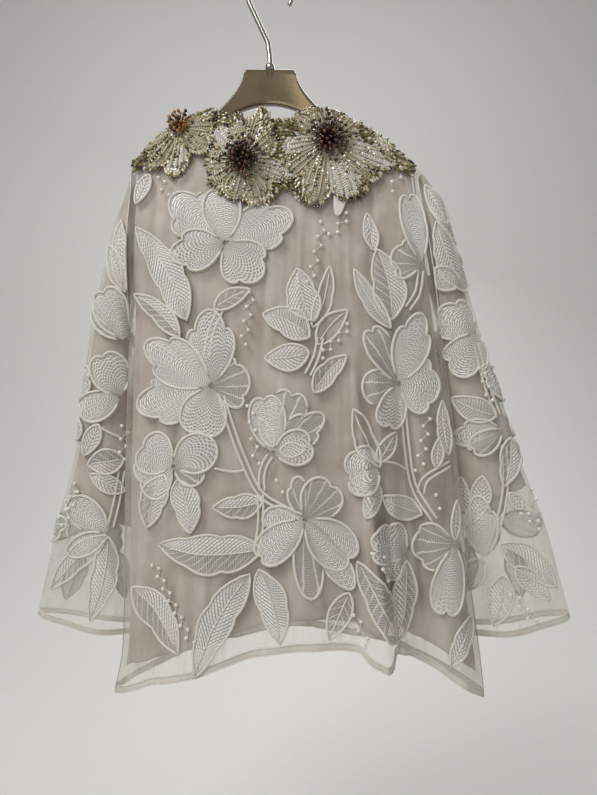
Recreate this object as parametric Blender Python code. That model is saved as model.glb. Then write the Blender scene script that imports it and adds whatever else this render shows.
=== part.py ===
"""Embroidered blouse with bell sleeves and a beaded collar, on a hanger.

World frame: metres, +Z up. The front of the blouse faces -Y, and left and
right are as seen from the front. The origin is the inside top of the hanger's
hook, where it hangs on a rail or a peg. Sizes in this file are millimetres,
turned into metres where a mesh is made.
"""

import math
from typing import NamedTuple

import bmesh
import bpy
from mathutils import Matrix, Vector

MM = 0.001

# Cloth and seams
CLOTH = 1.2
SEAM_GAP = 0.3
HALF_GAP = SEAM_GAP / 2
HEM_BAND = 8.0
HEM_RAISE = 0.8
STITCH_RAISE = 0.9

# Shoulders and neck
NECK_HALF = 68.0
NECK_CORNER = 6.0
NECK_TOP = -163.5
NECK_DIP_FRONT = 22.0
NECK_DIP_BACK = 20.0
NECK_DEPTH_FRONT = 24.0
NECK_DEPTH_BACK = 20.0
NECK_ACROSS = 0.41
TIP_LEFT_X = -163.0
TIP_LEFT_Z = -227.0
TIP_RIGHT_X = 172.0
TIP_RIGHT_Z = -231.0
SHOULDER_CROWN = 7.0
SHOULDER_ROUND = 11.0
SHOULDER_BLEND = 90.0

# Armholes
ARMPIT_Z = -413.0
ARMHOLE_FRONT = 24.0
ARMHOLE_BACK = 22.0
ARMHOLE_GAP = 0.4

# Hem heights: the middle, and how far the corners hang below it
HEM_MIDDLE = -786.0
HEM_MIDDLE_BACK = -792.0
HEM_CORNER_LEFT = -857.0
HEM_CORNER_RIGHT = -864.0
HEM_CURVE_LEFT = 1.3
HEM_CURVE_RIGHT = 2.6
HEM_CURVE_BACK = 2.0

# Lining
LINING_INSET = 5.0
LINING_SIDE = 7.0
LINING_WINDOW = 12.0
LINING_TOP_WINDOW = 5.0
LINING_TOP_DROP = 42.0
LINING_SEAT = 0.8
LINING_BLEND = 60.0
LINING_SHORT = 30.0

# Collar
COLLAR_LIFT = 0.95
COLLAR_THICK = 2.2
COLLAR_PETAL = 1.6
COLLAR_BASE_DROP = 36.0
COLLAR_TIP_DROP = 12.0
COLLAR_LOBE = 26.0
COLLAR_END = 0.985

# Hanger and hook
HANGER_THICK = 12.0
HANGER_EDGE = 3.6
HANGER_HALF = 149.0
HANGER_SEAT = 5.0
HANGER_TOP = -114.0
HANGER_NECK = 28.0
HANGER_SHOULDER_X = 31.0
HANGER_SHOULDER_Z = -118.0
HANGER_FLARE = 1.6
ARCH_HALF = 47.0
ARCH_TOP = -155.2
ARCH_DROP = 14.4
ARM_ROOT = 20.0
ARM_TIP = 16.0
WIRE_RADIUS = 3.0
CROOK_RADIUS = 26.3
BEND_X = -2.4
BEND_Z = -80.4
CROOK_TAIL = math.radians(-28)
FERRULE_TOP = -105.6
FERRULE_RADIUS = 5.4
INSERT_RADIUS = 3.9
INSERT_DEPTH = 9.6


class BodySection(NamedTuple):
    """One level of the body: its side seams and how deep it is each way."""

    height: float
    left: float
    right: float
    front: float
    back: float


BODY = (
    BodySection(-227, -163, 172, 24, 18),
    BodySection(-330, -166, 187, 32, 21),
    BodySection(-413, -168, 202, 38, 23),
    BodySection(-553, -172, 221, 44, 25),
    BodySection(-682, -174, 234, 50, 27),
    BodySection(-809, -177, 251, 58, 29),
    BodySection(-864, -188, 257, 62, 30),
)


class Fold(NamedTuple):
    """A fold that runs down to the hem: a ridge, or a trough where negative."""

    top_x: float
    top_z: float
    hem_x: float
    left_width: float
    right_width: float
    depth: float


FRONT_FOLDS = (
    Fold(118, -430, 128, 34, 18, 24),
    Fold(150, -470, 164, 24, 46, -24),
    Fold(200, -560, 226, 26, 24, 8),
    Fold(30, -290, 42, 60, 50, 8),
    Fold(-12, -360, -22, 34, 32, -6),
    Fold(-70, -400, -80, 34, 36, 7),
    Fold(-122, -270, -134, 32, 28, -8),
)
BACK_FOLDS = (
    Fold(-70, -330, -92, 38, 34, 6),
    Fold(-20, -380, -34, 34, 34, -6),
    Fold(24, -320, 30, 36, 36, 7),
    Fold(86, -360, 98, 36, 30, -7),
    Fold(132, -400, 152, 30, 34, 6),
)


class SleeveSection(NamedTuple):
    """One ring of a sleeve, from its outer edge to its inner edge."""

    along: float
    outer_x: float
    outer_z: float
    inner_x: float
    inner_z: float
    outer_y: float
    inner_y: float
    half: float


SLEEVE_LEFT = (
    SleeveSection(0.00, -163.4, -227, -168.4, -413, 0, 0, 23),
    SleeveSection(0.08, -170, -258, -171, -424, 1, 7, 25),
    SleeveSection(0.16, -186, -298, -170, -438, 2, 13, 26),
    SleeveSection(0.25, -197, -342, -167, -458, 4, 19, 26),
    SleeveSection(0.38, -215, -414, -162, -492, 6, 26, 25),
    SleeveSection(0.52, -228, -508, -157, -560, 10, 33, 23),
    SleeveSection(0.64, -238, -576, -151, -622, 13, 39, 22),
    SleeveSection(0.78, -260, -655, -143, -692, 17, 44, 22),
    SleeveSection(0.90, -276, -724, -136, -752, 20, 48, 23),
    SleeveSection(1.00, -287, -771, -130, -797, 22, 51, 24),
)
SLEEVE_RIGHT = (
    SleeveSection(0.00, 172.4, -231, 202.4, -413, 0, 0, 23),
    SleeveSection(0.08, 194, -256, 206, -424, 1, 7, 25),
    SleeveSection(0.16, 211, -290, 206, -438, 2, 13, 26),
    SleeveSection(0.25, 226, -336, 205, -458, 4, 19, 26),
    SleeveSection(0.38, 249, -414, 206, -492, 6, 26, 25),
    SleeveSection(0.52, 280, -504, 211, -560, 10, 33, 23),
    SleeveSection(0.64, 304, -580, 215, -622, 13, 39, 22),
    SleeveSection(0.78, 338, -667, 217, -692, 17, 44, 22),
    SleeveSection(0.90, 353, -718, 216, -752, 20, 48, 23),
    SleeveSection(1.00, 369, -775, 212, -800, 22, 51, 24),
)
CUFF_SAG = 9.0
CUFF_WAVES = 5
CUFF_WAVE_DEPTH = 0.16
SLEEVE_LENGTH = 600.0

# Sleeve linings, with their places given as shares of the sleeve's length
SLEEVE_LINING_START = 0.215
SLEEVE_LINING_LEFT = 0.74
SLEEVE_LINING_RIGHT = 0.69
SLEEVE_LINING_BLEND = 0.3
SLEEVE_LINING_DOWN = 7
SLEEVE_LINING_INSET = 4.6
SLEEVE_LINING_SEAT = 2.7


class Lobe(NamedTuple):
    """A petal tip that shapes an edge of the collar."""

    x: float
    z: float
    half: float


FRONT_LOBES = (
    Lobe(-141, -236, 20),
    Lobe(-110, -245, 18),
    Lobe(-52, -270, 21),
    Lobe(-12, -282, 27),
    Lobe(48, -281, 25),
    Lobe(93, -277, 24),
    Lobe(121, -251, 16),
    Lobe(146, -231, 22),
)
NECK_LOBES = (
    Lobe(-36, -177, 14),
    Lobe(-7, -170, 11),
    Lobe(30, -180, 12),
    Lobe(46, -171, 14),
)
BACK_LOBES = (
    Lobe(-138, -240, 22),
    Lobe(-98, -252, 24),
    Lobe(-52, -264, 25),
    Lobe(3, -272, 30),
    Lobe(58, -266, 26),
    Lobe(104, -254, 24),
    Lobe(146, -240, 22),
)


class Flower(NamedTuple):
    """A round flower: its middle, its size, and how many petals it has."""

    x: float
    z: float
    radius: float
    petals: int
    turn: float


COLLAR_FLOWERS = (
    Flower(-104, -188, 46, 5, 20),
    Flower(-30, -232, 50, 6, 0),
    Flower(67, -206, 56, 6, 25),
)
FRONT_FLOWERS = (
    Flower(-50, -325, 68, 5, 54),
    Flower(-64, -491, 70, 5, 90),
    Flower(-110, -588, 50, 5, 30),
    Flower(25, -528, 46, 5, 10),
    Flower(43, -640, 58, 5, 90),
    Flower(148, -489, 60, 5, 70),
    Flower(164, -300, 44, 5, 0),
    Flower(212, -692, 46, 5, 40),
    Flower(110, -572, 36, 4, 45),
)
BACK_FLOWERS = (
    Flower(-70, -350, 66, 5, 10),
    Flower(92, -380, 64, 5, 54),
    Flower(-96, -560, 62, 5, 90),
    Flower(24, -500, 50, 5, 30),
    Flower(140, -590, 60, 5, 70),
    Flower(10, -690, 58, 5, 20),
)


class Tuft(NamedTuple):
    """A tuft of stamens: its name, its size, and its gap to the collar."""

    name: str
    radius: float
    gap: float


TUFTS = (
    Tuft("stamens_left", 8.5, 0.8),
    Tuft("stamens_centre", 12.0, 0.8),
    Tuft("stamens_right", 11.5, 1.6),
)


class Grid(NamedTuple):
    """How many cells a wall has across and down."""

    across: int
    down: int


FRONT_GRID = Grid(34, 30)
BACK_GRID = Grid(22, 22)
LINING_FRONT_GRID = Grid(24, 14)
LINING_BACK_GRID = Grid(16, 10)
SLEEVE_GRID = Grid(20, 16)
TOP_ROWS = (0.0, 1.0, 3.0, 7.0, 14.0, 26.0, 42.0, 62.0, 84.0, 106.0)

FRONT = -1
BACK = 1


def blend(low, high, share):
    """Value a share of the way from low to high."""
    return low + (high - low) * share


def ease(low, high, value):
    """Smooth rise from 0 at low to 1 at high."""
    share = min(max((value - low) / (high - low), 0.0), 1.0)
    return share * share * (3 - 2 * share)


def read(rows, place, column):
    """One column of a table at a place along its first column, smoothed."""
    keys = [row[0] for row in rows]
    if keys[0] > keys[-1]:
        keys = [-key for key in keys]
        place = -place
    values = [getattr(row, column) for row in rows]
    if place <= keys[0]:
        return values[0]
    if place >= keys[-1]:
        return values[-1]
    i = max(k for k in range(len(keys) - 1) if keys[k] <= place)
    last = len(keys) - 1

    def slope(k):
        low, high = max(k - 1, 0), min(k + 1, last)
        return (values[high] - values[low]) / (keys[high] - keys[low])

    span = keys[i + 1] - keys[i]
    t = (place - keys[i]) / span
    rise = 3 * t * t - 2 * t ** 3
    start = t - 2 * t * t + t ** 3
    end = t ** 3 - t * t
    value = blend(values[i], values[i + 1], rise)
    return value + span * (start * slope(i) + end * slope(i + 1))


def spaced(count, density):
    """Places from -1 to 1 that stand closer where density is higher."""
    samples = 400
    total = [0.0]
    for i in range(samples):
        middle = -1 + 2 * (i + 0.5) / samples
        total.append(total[-1] + density(middle))
    places = []
    k = 0
    for j in range(count + 1):
        goal = total[-1] * j / count
        while k < samples - 1 and total[k + 1] < goal:
            k += 1
        share = (goal - total[k]) / (total[k + 1] - total[k])
        places.append(-1 + 2 * (k + share) / samples)
    places[0], places[-1] = -1.0, 1.0
    return places


def tip_of(x):
    """Shoulder tip on the side that x lies on."""
    return (TIP_LEFT_X, TIP_LEFT_Z) if x < 0 else (TIP_RIGHT_X, TIP_RIGHT_Z)


def shoulder_line(x):
    """Height of the shoulder seam at x, outside the neck."""
    tip_x, tip_z = tip_of(x)
    share = (abs(x) - NECK_HALF) / (abs(tip_x) - NECK_HALF)
    crown = SHOULDER_CROWN * math.sin(math.pi * min(max(share, 0), 1))
    return blend(NECK_TOP, tip_z, share) + crown


def top_line(x, side):
    """Height of a panel's top edge: the neckline, then the shoulder seam."""
    if abs(x) >= NECK_HALF:
        return shoulder_line(x)
    dip = NECK_DIP_FRONT if side == FRONT else NECK_DIP_BACK
    return NECK_TOP - dip * (1 - abs(x / NECK_HALF) ** 2.4)


def hem_line(across, side):
    """Height of the hem at a place from -1, left seam, to 1, right seam."""
    corner = HEM_CORNER_LEFT if across < 0 else HEM_CORNER_RIGHT
    middle = HEM_MIDDLE if side == FRONT else HEM_MIDDLE_BACK
    curve = HEM_CURVE_BACK
    if side == FRONT:
        curve = HEM_CURVE_LEFT if across < 0 else HEM_CURVE_RIGHT
    return blend(middle, corner, abs(across) ** curve)


def x_of(across, z):
    """Sideways place of a column of the body at a height."""
    return blend(read(BODY, z, "left"), read(BODY, z, "right"), (across + 1) / 2)


def across_of(x, z):
    """Column of the body that passes through x at a height."""
    left, right = read(BODY, z, "left"), read(BODY, z, "right")
    return min(max(2 * (x - left) / (right - left) - 1, -1.0), 1.0)


def fold_depth(folds, x, z):
    """How far the folds bring the cloth out at a point."""
    total = 0.0
    for fold in folds:
        run = (fold.top_z - z) / (fold.top_z - HEM_MIDDLE)
        if run <= 0:
            continue
        offset = x - blend(fold.top_x, fold.hem_x, run)
        width = fold.left_width if offset < 0 else fold.right_width
        width *= blend(0.7, 1.0, min(run, 1.0))
        if abs(offset) < width:
            crest = math.cos(offset / width * math.pi / 2) ** 2
            total += fold.depth * min(run, 1.1) ** 0.9 * crest
    return total


def armhole_half(across, z, side):
    """Half of the armhole's opening at a height, nothing below the armpit."""
    tip_z = TIP_LEFT_Z if across < 0 else TIP_RIGHT_Z
    share = (tip_z - z) / (tip_z - ARMPIT_Z)
    if share <= 0 or share >= 1:
        return HALF_GAP
    most = ARMHOLE_FRONT if side == FRONT else ARMHOLE_BACK
    return HALF_GAP + most * math.sin(math.pi * share) ** 0.75


def body_depth(across, z, side):
    """How far a panel's outer face stands from the seam plane."""
    top_x = blend(TIP_LEFT_X, TIP_RIGHT_X, (across + 1) / 2)
    drop = max(top_line(top_x, side) - z, 0.0)
    full = read(BODY, z, "front" if side == FRONT else "back")
    low_body = ease(ARMPIT_Z + 60, ARMPIT_Z - 20, z)
    crown = (1 - abs(across) ** 2.6) ** blend(1.0, 0.62, low_body)
    edge = armhole_half(across, z, side)
    deep = edge + (full - edge) * crown
    folds = FRONT_FOLDS if side == FRONT else BACK_FOLDS
    inside = ease(0.0, 0.14, 1 - abs(across))
    deep += fold_depth(folds, x_of(across, z), z) * inside
    over = min(drop / SHOULDER_ROUND, 1.0)
    rounded = SHOULDER_ROUND * math.sqrt(1 - (1 - over) ** 2)
    neck = 0.0
    if abs(top_x) < NECK_HALF:
        most = NECK_DEPTH_FRONT if side == FRONT else NECK_DEPTH_BACK
        neck = most * math.sqrt(1 - (top_x / NECK_HALF) ** 4)
    near_top = (neck ** 4 + rounded ** 4) ** 0.25
    return max(blend(near_top, deep, ease(0, SHOULDER_BLEND, drop)), HALF_GAP)


def body_point(across, z, side):
    """Point of a panel's outer face, without its stitching."""
    return Vector((x_of(across, z), side * body_depth(across, z, side), z))


def lining_depth(x, z, side, below_top):
    """How far the lining stands from the seam plane, inside the shell."""
    grown = ease(0, LINING_BLEND, below_top)
    window = blend(LINING_TOP_WINDOW, LINING_WINDOW, grown)
    inset = blend(CLOTH + LINING_SEAT, LINING_INSET, grown)
    nearest = min(
        body_depth(across_of(x + step * window, z), z, side)
        for step in (-1, -0.5, 0, 0.5, 1)
    )
    left = read(BODY, z, "left") + LINING_SIDE
    right = read(BODY, z, "right") - LINING_SIDE
    across = min(max(2 * (x - left) / (right - left) - 1, -1.0), 1.0)
    full = read(BODY, z, "front" if side == FRONT else "back") + 40
    edge = max(armhole_half(across, z, side) - LINING_INSET, HALF_GAP)
    low_body = ease(ARMPIT_Z + 60, ARMPIT_Z - 20, z)
    crown = (1 - abs(across) ** 2.6) ** blend(1.0, 0.62, low_body)
    own = edge + (full - edge) * crown
    return max(min(own, nearest - inset), HALF_GAP)


def petal_height(x, z, flower):
    """Raised form of a flower's petals at a point, from 0 to 1."""
    reach = math.hypot(x - flower.x, z - flower.z) / flower.radius
    if reach <= 0.24 or reach >= 1:
        return 0.0
    step = 2 * math.pi / flower.petals
    angle = math.atan2(z - flower.z, x - flower.x) - math.radians(flower.turn)
    beside = abs((angle + step / 2) % step - step / 2) / (step / 2)
    half = math.sin(math.pi * reach ** 0.8) ** 0.6
    if beside >= half * 0.92:
        return 0.0
    return math.sin(math.pi * reach) ** 0.5


def stitching(x, z, flowers):
    """Height that the raised flowers add to a panel's outer face."""
    return max((petal_height(x, z, flower) for flower in flowers), default=0.0)


def grid_normals(points, closed):
    """Unit directions across a grid of points, one for each point."""
    rows, columns = len(points), len(points[0])
    normals = []
    for i in range(rows):
        row = []
        for j in range(columns):
            up = points[max(i - 1, 0)][j]
            down = points[min(i + 1, rows - 1)][j]
            if closed:
                before, after = points[i][j - 1], points[i][(j + 1) % columns]
            else:
                before = points[i][max(j - 1, 0)]
                after = points[i][min(j + 1, columns - 1)]
            row.append((after - before).cross(up - down).normalized())
        normals.append(row)
    return normals


def flatten(normal, *axes):
    """A direction with some of its axes taken out."""
    flat = normal.copy()
    for axis in axes:
        flat[axis] = 0.0
    return flat.normalized()


def wall_mesh(bm, outer, inner, closed):
    """Join an outer and an inner grid of points into one closed wall."""
    rows, columns = len(outer), len(outer[0])
    layers = []
    for points in (outer, inner):
        layers.append([[bm.verts.new(p * MM) for p in row] for row in points])
    out, back = layers
    span = columns if closed else columns - 1
    for i in range(rows - 1):
        for j in range(span):
            k = (j + 1) % columns
            bm.faces.new((out[i][j], out[i + 1][j], out[i + 1][k], out[i][k]))
            bm.faces.new((back[i][j], back[i][k], back[i + 1][k], back[i + 1][j]))
    for i in (0, rows - 1):
        for j in range(span):
            k = (j + 1) % columns
            bm.faces.new((out[i][j], out[i][k], back[i][k], back[i][j]))
    if not closed:
        for j in (0, columns - 1):
            for i in range(rows - 1):
                bm.faces.new((out[i][j], out[i + 1][j], back[i + 1][j], back[i][j]))
    bmesh.ops.recalc_face_normals(bm, faces=bm.faces)


def material(name, color, roughness, metallic=0.0, alpha=1.0):
    """A plain finish: colour, roughness and metal."""
    made = bpy.data.materials.new(name)
    made.use_nodes = True
    shader = made.node_tree.nodes["Principled BSDF"]
    shader.inputs["Base Color"].default_value = (*color, 1.0)
    shader.inputs["Roughness"].default_value = roughness
    shader.inputs["Metallic"].default_value = metallic
    shader.inputs["Alpha"].default_value = alpha
    return made


def add_object(name, bm, finish):
    """Turn a bmesh into a named object that carries one finish."""
    mesh = bpy.data.meshes.new(name)
    bm.to_mesh(mesh)
    bm.free()
    mesh.materials.append(finish)
    mesh.shade_smooth()
    mesh.set_sharp_from_angle(angle=math.radians(40))
    made = bpy.data.objects.new(name, mesh)
    bpy.context.scene.collection.objects.link(made)
    return made


def body_rows(across, grid, side):
    """Heights of one column of a panel, with rows for its top and its hem."""
    top_x = blend(TIP_LEFT_X, TIP_RIGHT_X, (across + 1) / 2)
    top = top_line(top_x, side)
    hem = hem_line(across, side)
    heights = [top - drop for drop in TOP_ROWS]
    start, end = heights[-1], hem + HEM_BAND + 1
    middle_rows = grid.down - len(TOP_ROWS) - 1
    for i in range(1, middle_rows + 1):
        heights.append(blend(start, end, i / middle_rows))
    heights += [hem + HEM_BAND, hem]
    return heights


def panel_direction(normal, i, j, columns, point, top_x):
    """A panel's thickness direction, kept in the seam plane at its seams."""
    at_side = j in (0, columns - 1)
    at_shoulder = i == 0 and abs(top_x) >= NECK_HALF
    if at_side and at_shoulder:
        return Vector((0, 0, 1))
    if at_side and point.z > ARMPIT_Z:
        return flatten(normal, 0)
    if at_side or at_shoulder:
        return flatten(normal, 1)
    return normal


def panel_frame(side, columns, heights_of):
    """Points and thickness directions of a panel over given columns."""
    heights = [heights_of(across) for across in columns]
    rows = len(heights[0])
    points = []
    for i in range(rows):
        row = []
        for across, column in zip(columns, heights):
            row.append(body_point(across, column[i], side))
        points.append(row)
    normals = grid_normals(points, closed=False)
    for row in normals:
        for normal in row:
            if normal.y * side < 0:
                normal.negate()
    return points, normals


def even_density(across):
    """Columns crowd at the side seams and where the neck meets a shoulder."""
    corner = math.exp(-((abs(across) - NECK_ACROSS) / 0.06) ** 2)
    return 1 + 1.2 * abs(across) ** 12 + 1.6 * corner


def front_density(across):
    """Columns of the front crowd at its deep folds on the right as well."""
    fold = math.exp(-((across - 0.5) / 0.2) ** 2)
    return even_density(across) + 1.3 * fold


def build_panel(name, side, grid, flowers, density, finish):
    """Front or back of the blouse: a wall with its hem and flowers raised."""
    columns = spaced(grid.across, density)
    points, normals = panel_frame(side, columns, lambda a: body_rows(a, grid, side))
    outer, inner = [], []
    for i, row in enumerate(points):
        outer_row, inner_row = [], []
        for j, point in enumerate(row):
            top_x = blend(TIP_LEFT_X, TIP_RIGHT_X, (columns[j] + 1) / 2)
            way = panel_direction(normals[i][j], i, j, len(columns), point, top_x)
            raised = 0.0
            if 0 < j < len(columns) - 1 and i > 0:
                raised = STITCH_RAISE * stitching(point.x, point.z, flowers)
                if i >= len(points) - 2:
                    raised = HEM_RAISE
            outer_row.append(point + way * raised)
            inner_row.append(point - way * CLOTH)
        outer.append(outer_row)
        inner.append(inner_row)
    bm = bmesh.new()
    wall_mesh(bm, outer, inner, closed=False)
    return add_object(name, bm, finish)


def build_lining(name, side, grid, density, finish):
    """Front or back of the lining, hung inside the shell and shorter."""
    columns = spaced(grid.across, density)
    points = []
    for i in range(grid.down + 1):
        row = []
        for across in columns:
            top_x = blend(TIP_LEFT_X, TIP_RIGHT_X, (across + 1) / 2)
            top = top_line(top_x, side) - LINING_TOP_DROP
            hem = hem_line(across, side) + LINING_SHORT
            z = blend(top, hem, i / grid.down)
            left = read(BODY, z, "left") + LINING_SIDE
            right = read(BODY, z, "right") - LINING_SIDE
            x = blend(left, right, (across + 1) / 2)
            y = side * lining_depth(x, z, side, top - z)
            row.append(Vector((x, y, z)))
        points.append(row)
    normals = grid_normals(points, closed=False)
    inner = []
    for i, row in enumerate(points):
        inner_row = []
        for j, point in enumerate(row):
            way = normals[i][j]
            if way.y * side < 0:
                way = -way
            if j in (0, len(columns) - 1):
                way = flatten(way, 0 if point.z > ARMPIT_Z else 1)
            inner_row.append(point - way * CLOTH)
        inner.append(inner_row)
    bm = bmesh.new()
    wall_mesh(bm, points, inner, closed=False)
    return add_object(name, bm, finish)


def lobe_edge(x, lobes, plain, way):
    """Edge of the collar at x: its plain line, or a petal tip past it."""
    edge = plain
    for lobe in lobes:
        offset = (x - lobe.x) / lobe.half
        if abs(offset) < 1:
            round_tip = COLLAR_LOBE * (1 - math.sqrt(1 - offset * offset))
            edge = way * max(way * edge, way * lobe.z - round_tip)
    return edge


def collar_rows(across, side):
    """Heights of one column of the collar, on the rows of its panel."""
    x = blend(TIP_LEFT_X, TIP_RIGHT_X, (across + 1) / 2)
    top = top_line(x, side)
    lobes = FRONT_LOBES if side == FRONT else BACK_LOBES
    drop = blend(COLLAR_BASE_DROP, COLLAR_TIP_DROP, abs(across) ** 4)
    bottom = lobe_edge(x, lobes, top - drop, -1)
    length = top - bottom
    heights = []
    for k, drop in enumerate(TOP_ROWS):
        heights.append(top - min(drop, length * (k / len(TOP_ROWS)) ** 1.5))
    if side == FRONT and abs(x) < NECK_HALF - 4:
        heights[0] = lobe_edge(x, NECK_LOBES, top, 1)
    return heights + [bottom]


def build_collar(name, side, grid, flowers, density, finish):
    """Beaded collar that lies on a panel, with its petals raised."""
    columns = spaced(grid.across, density)
    columns[0], columns[-1] = -COLLAR_END, COLLAR_END
    points, normals = panel_frame(side, columns, lambda a: collar_rows(a, side))
    outer, inner = [], []
    last = len(points) - 1
    for i, row in enumerate(points):
        outer_row, inner_row = [], []
        for j, point in enumerate(row):
            way = normals[i][j]
            top_x = blend(TIP_LEFT_X, TIP_RIGHT_X, (columns[j] + 1) / 2)
            if i == 0 and abs(top_x) >= NECK_HALF - NECK_CORNER:
                way = flatten(way, 1)
            raised = 0.0
            if 0 < i < last:
                raised = COLLAR_PETAL * stitching(point.x, point.z, flowers)
            outer_row.append(point + way * (COLLAR_LIFT + COLLAR_THICK + raised))
            inner_row.append(point + way * COLLAR_LIFT)
        outer.append(outer_row)
        inner.append(inner_row)
    bm = bmesh.new()
    wall_mesh(bm, outer, inner, closed=False)
    return add_object(name, bm, finish)


def sleeve_point(rows, along, angle, across):
    """Point of a sleeve's outer face, with the angle measured from its top."""
    share = (1 - math.cos(angle)) / 2
    x = blend(read(rows, along, "outer_x"), read(rows, along, "inner_x"), share)
    z = blend(read(rows, along, "outer_z"), read(rows, along, "inner_z"), share)
    middle = blend(read(rows, along, "outer_y"), read(rows, along, "inner_y"), share)
    wave = 1 + CUFF_WAVE_DEPTH * along ** 2 * math.sin(CUFF_WAVES * angle)
    hung = middle - read(rows, along, "half") * math.sin(angle) * wave
    z -= CUFF_SAG * along ** 3 * math.sin(angle) ** 2
    side = FRONT if math.sin(angle) > 0 else BACK
    armhole_x = x_of(across, z) + across * ARMHOLE_GAP
    armhole = side * body_depth(across, z, side)
    joined = 1 - ease(0.0, 0.2, along)
    at_start = 1 - ease(0.0, 0.02, along)
    return Vector((blend(x, armhole_x, at_start), blend(hung, armhole, joined), z))


def sleeve_rings(rows, stations, across):
    """Rings of a sleeve's outer face, with their outward directions."""
    points = []
    for along in stations:
        ring = []
        for j in range(SLEEVE_GRID.across):
            angle = 2 * math.pi * j / SLEEVE_GRID.across
            ring.append(sleeve_point(rows, along, angle, across))
        points.append(ring)
    normals = grid_normals(points, closed=True)
    for ring, ways in zip(points, normals):
        middle = sum(ring, Vector()) / len(ring)
        for point, way in zip(ring, ways):
            if way.dot(point - middle) < 0:
                way.negate()
    return points, normals


def build_sleeve(name, rows, across, finish):
    """Bell sleeve: a tube from the armhole to the turned-up cuff."""
    down = SLEEVE_GRID.down
    stations = [i / (down - 2) for i in range(down - 1)]
    stations[-1] = 1 - (HEM_BAND + 1) / SLEEVE_LENGTH
    stations += [1 - HEM_BAND / SLEEVE_LENGTH, 1.0]
    points, normals = sleeve_rings(rows, stations, across)
    outer, inner = [], []
    for i, (ring, ways) in enumerate(zip(points, normals)):
        if i == 0:
            ways = [flatten(way, 0) for way in ways]
        raised = HEM_RAISE if i >= len(points) - 2 else 0.0
        outer.append([point + way * raised for point, way in zip(ring, ways)])
        inner.append([point - way * CLOTH for point, way in zip(ring, ways)])
    bm = bmesh.new()
    wall_mesh(bm, outer, inner, closed=True)
    return add_object(name, bm, finish)


def drawn_in(rows, along, across, inset, side):
    """A ring of a sleeve brought in from its faces and from its two edges."""
    squeeze = 1 - inset / read(rows, along, "half")
    made = []
    for j in range(SLEEVE_GRID.across):
        angle = 2 * math.pi * j / SLEEVE_GRID.across
        share = (1 - math.cos(angle)) / 2
        point = sleeve_point(rows, along, angle, across)
        outer_y, inner_y = read(rows, along, "outer_y"), read(rows, along, "inner_y")
        middle = blend(outer_y, inner_y, share)
        point.x -= across * blend(side, -side, share)
        point.y = blend(middle, point.y, squeeze)
        made.append(point)
    return made


def build_sleeve_lining(name, rows, end, across, finish):
    """Lining of a sleeve: a shorter tube that hangs inside it."""
    start, down = SLEEVE_LINING_START, SLEEVE_LINING_DOWN
    outer, inner = [], []
    for i in range(down + 1):
        along = blend(start, end, i / down)
        grown = ease(start, SLEEVE_LINING_BLEND, along)
        inset = blend(SLEEVE_LINING_SEAT, SLEEVE_LINING_INSET, grown)
        outer.append(drawn_in(rows, along, across, inset, inset))
        deeper = inset + CLOTH
        inner.append(drawn_in(rows, along, across, deeper, deeper))
    bm = bmesh.new()
    wall_mesh(bm, outer, inner, closed=True)
    return add_object(name, bm, finish)


def collar_spot(flower, gap):
    """Point and direction on the collar's outer face at a flower's middle."""
    across = across_of(flower.x, flower.z)
    step = 2.0
    point = body_point(across, flower.z, FRONT)
    above = body_point(across, flower.z + step, FRONT)
    below = body_point(across, flower.z - step, FRONT)
    beside = body_point(across + 0.01, flower.z, FRONT)
    way = (beside - point).cross(above - below).normalized()
    if way.y > 0:
        way.negate()
    return point + way * (COLLAR_LIFT + COLLAR_THICK + gap), way


def build_stamens(tuft, flower, finish):
    """A round backing with short beaded stamens that spread from it."""
    spot, way = collar_spot(flower, tuft.gap)
    radius = tuft.radius
    bm = bmesh.new()
    bmesh.ops.create_uvsphere(bm, u_segments=8, v_segments=6, radius=radius)
    flat = 0.4
    bmesh.ops.scale(bm, verts=bm.verts, vec=(1, 1, flat))
    tufts = [f for f in bm.faces if len(f.verts) == 4 and f.calc_center_median().z > 0]
    bmesh.ops.inset_individual(bm, faces=tufts, thickness=radius * 0.07)
    grown = bmesh.ops.extrude_discrete_faces(bm, faces=tufts)["faces"]
    for face in grown:
        middle = face.calc_center_median()
        lean = Vector((middle.x * 0.9, middle.y * 0.9, radius * 0.7)).normalized()
        for vert in face.verts:
            vert.co = middle + (vert.co - middle) * 0.75 + lean * radius
    seat = Vector((0, 0, radius * flat))
    bmesh.ops.translate(bm, verts=bm.verts, vec=seat)
    turn = way.to_track_quat("Z", "Y").to_matrix().to_4x4()
    place = Matrix.Scale(MM, 4) @ Matrix.Translation(spot) @ turn
    bmesh.ops.transform(bm, matrix=place, verts=bm.verts)
    bmesh.ops.recalc_face_normals(bm, faces=bm.faces)
    return add_object(tuft.name, bm, finish)


def hanger_seat(x):
    """Height of the top of the hanger's arm under the shoulder seam."""
    return min(shoulder_line(x), shoulder_line(-x)) - HANGER_SEAT


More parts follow.
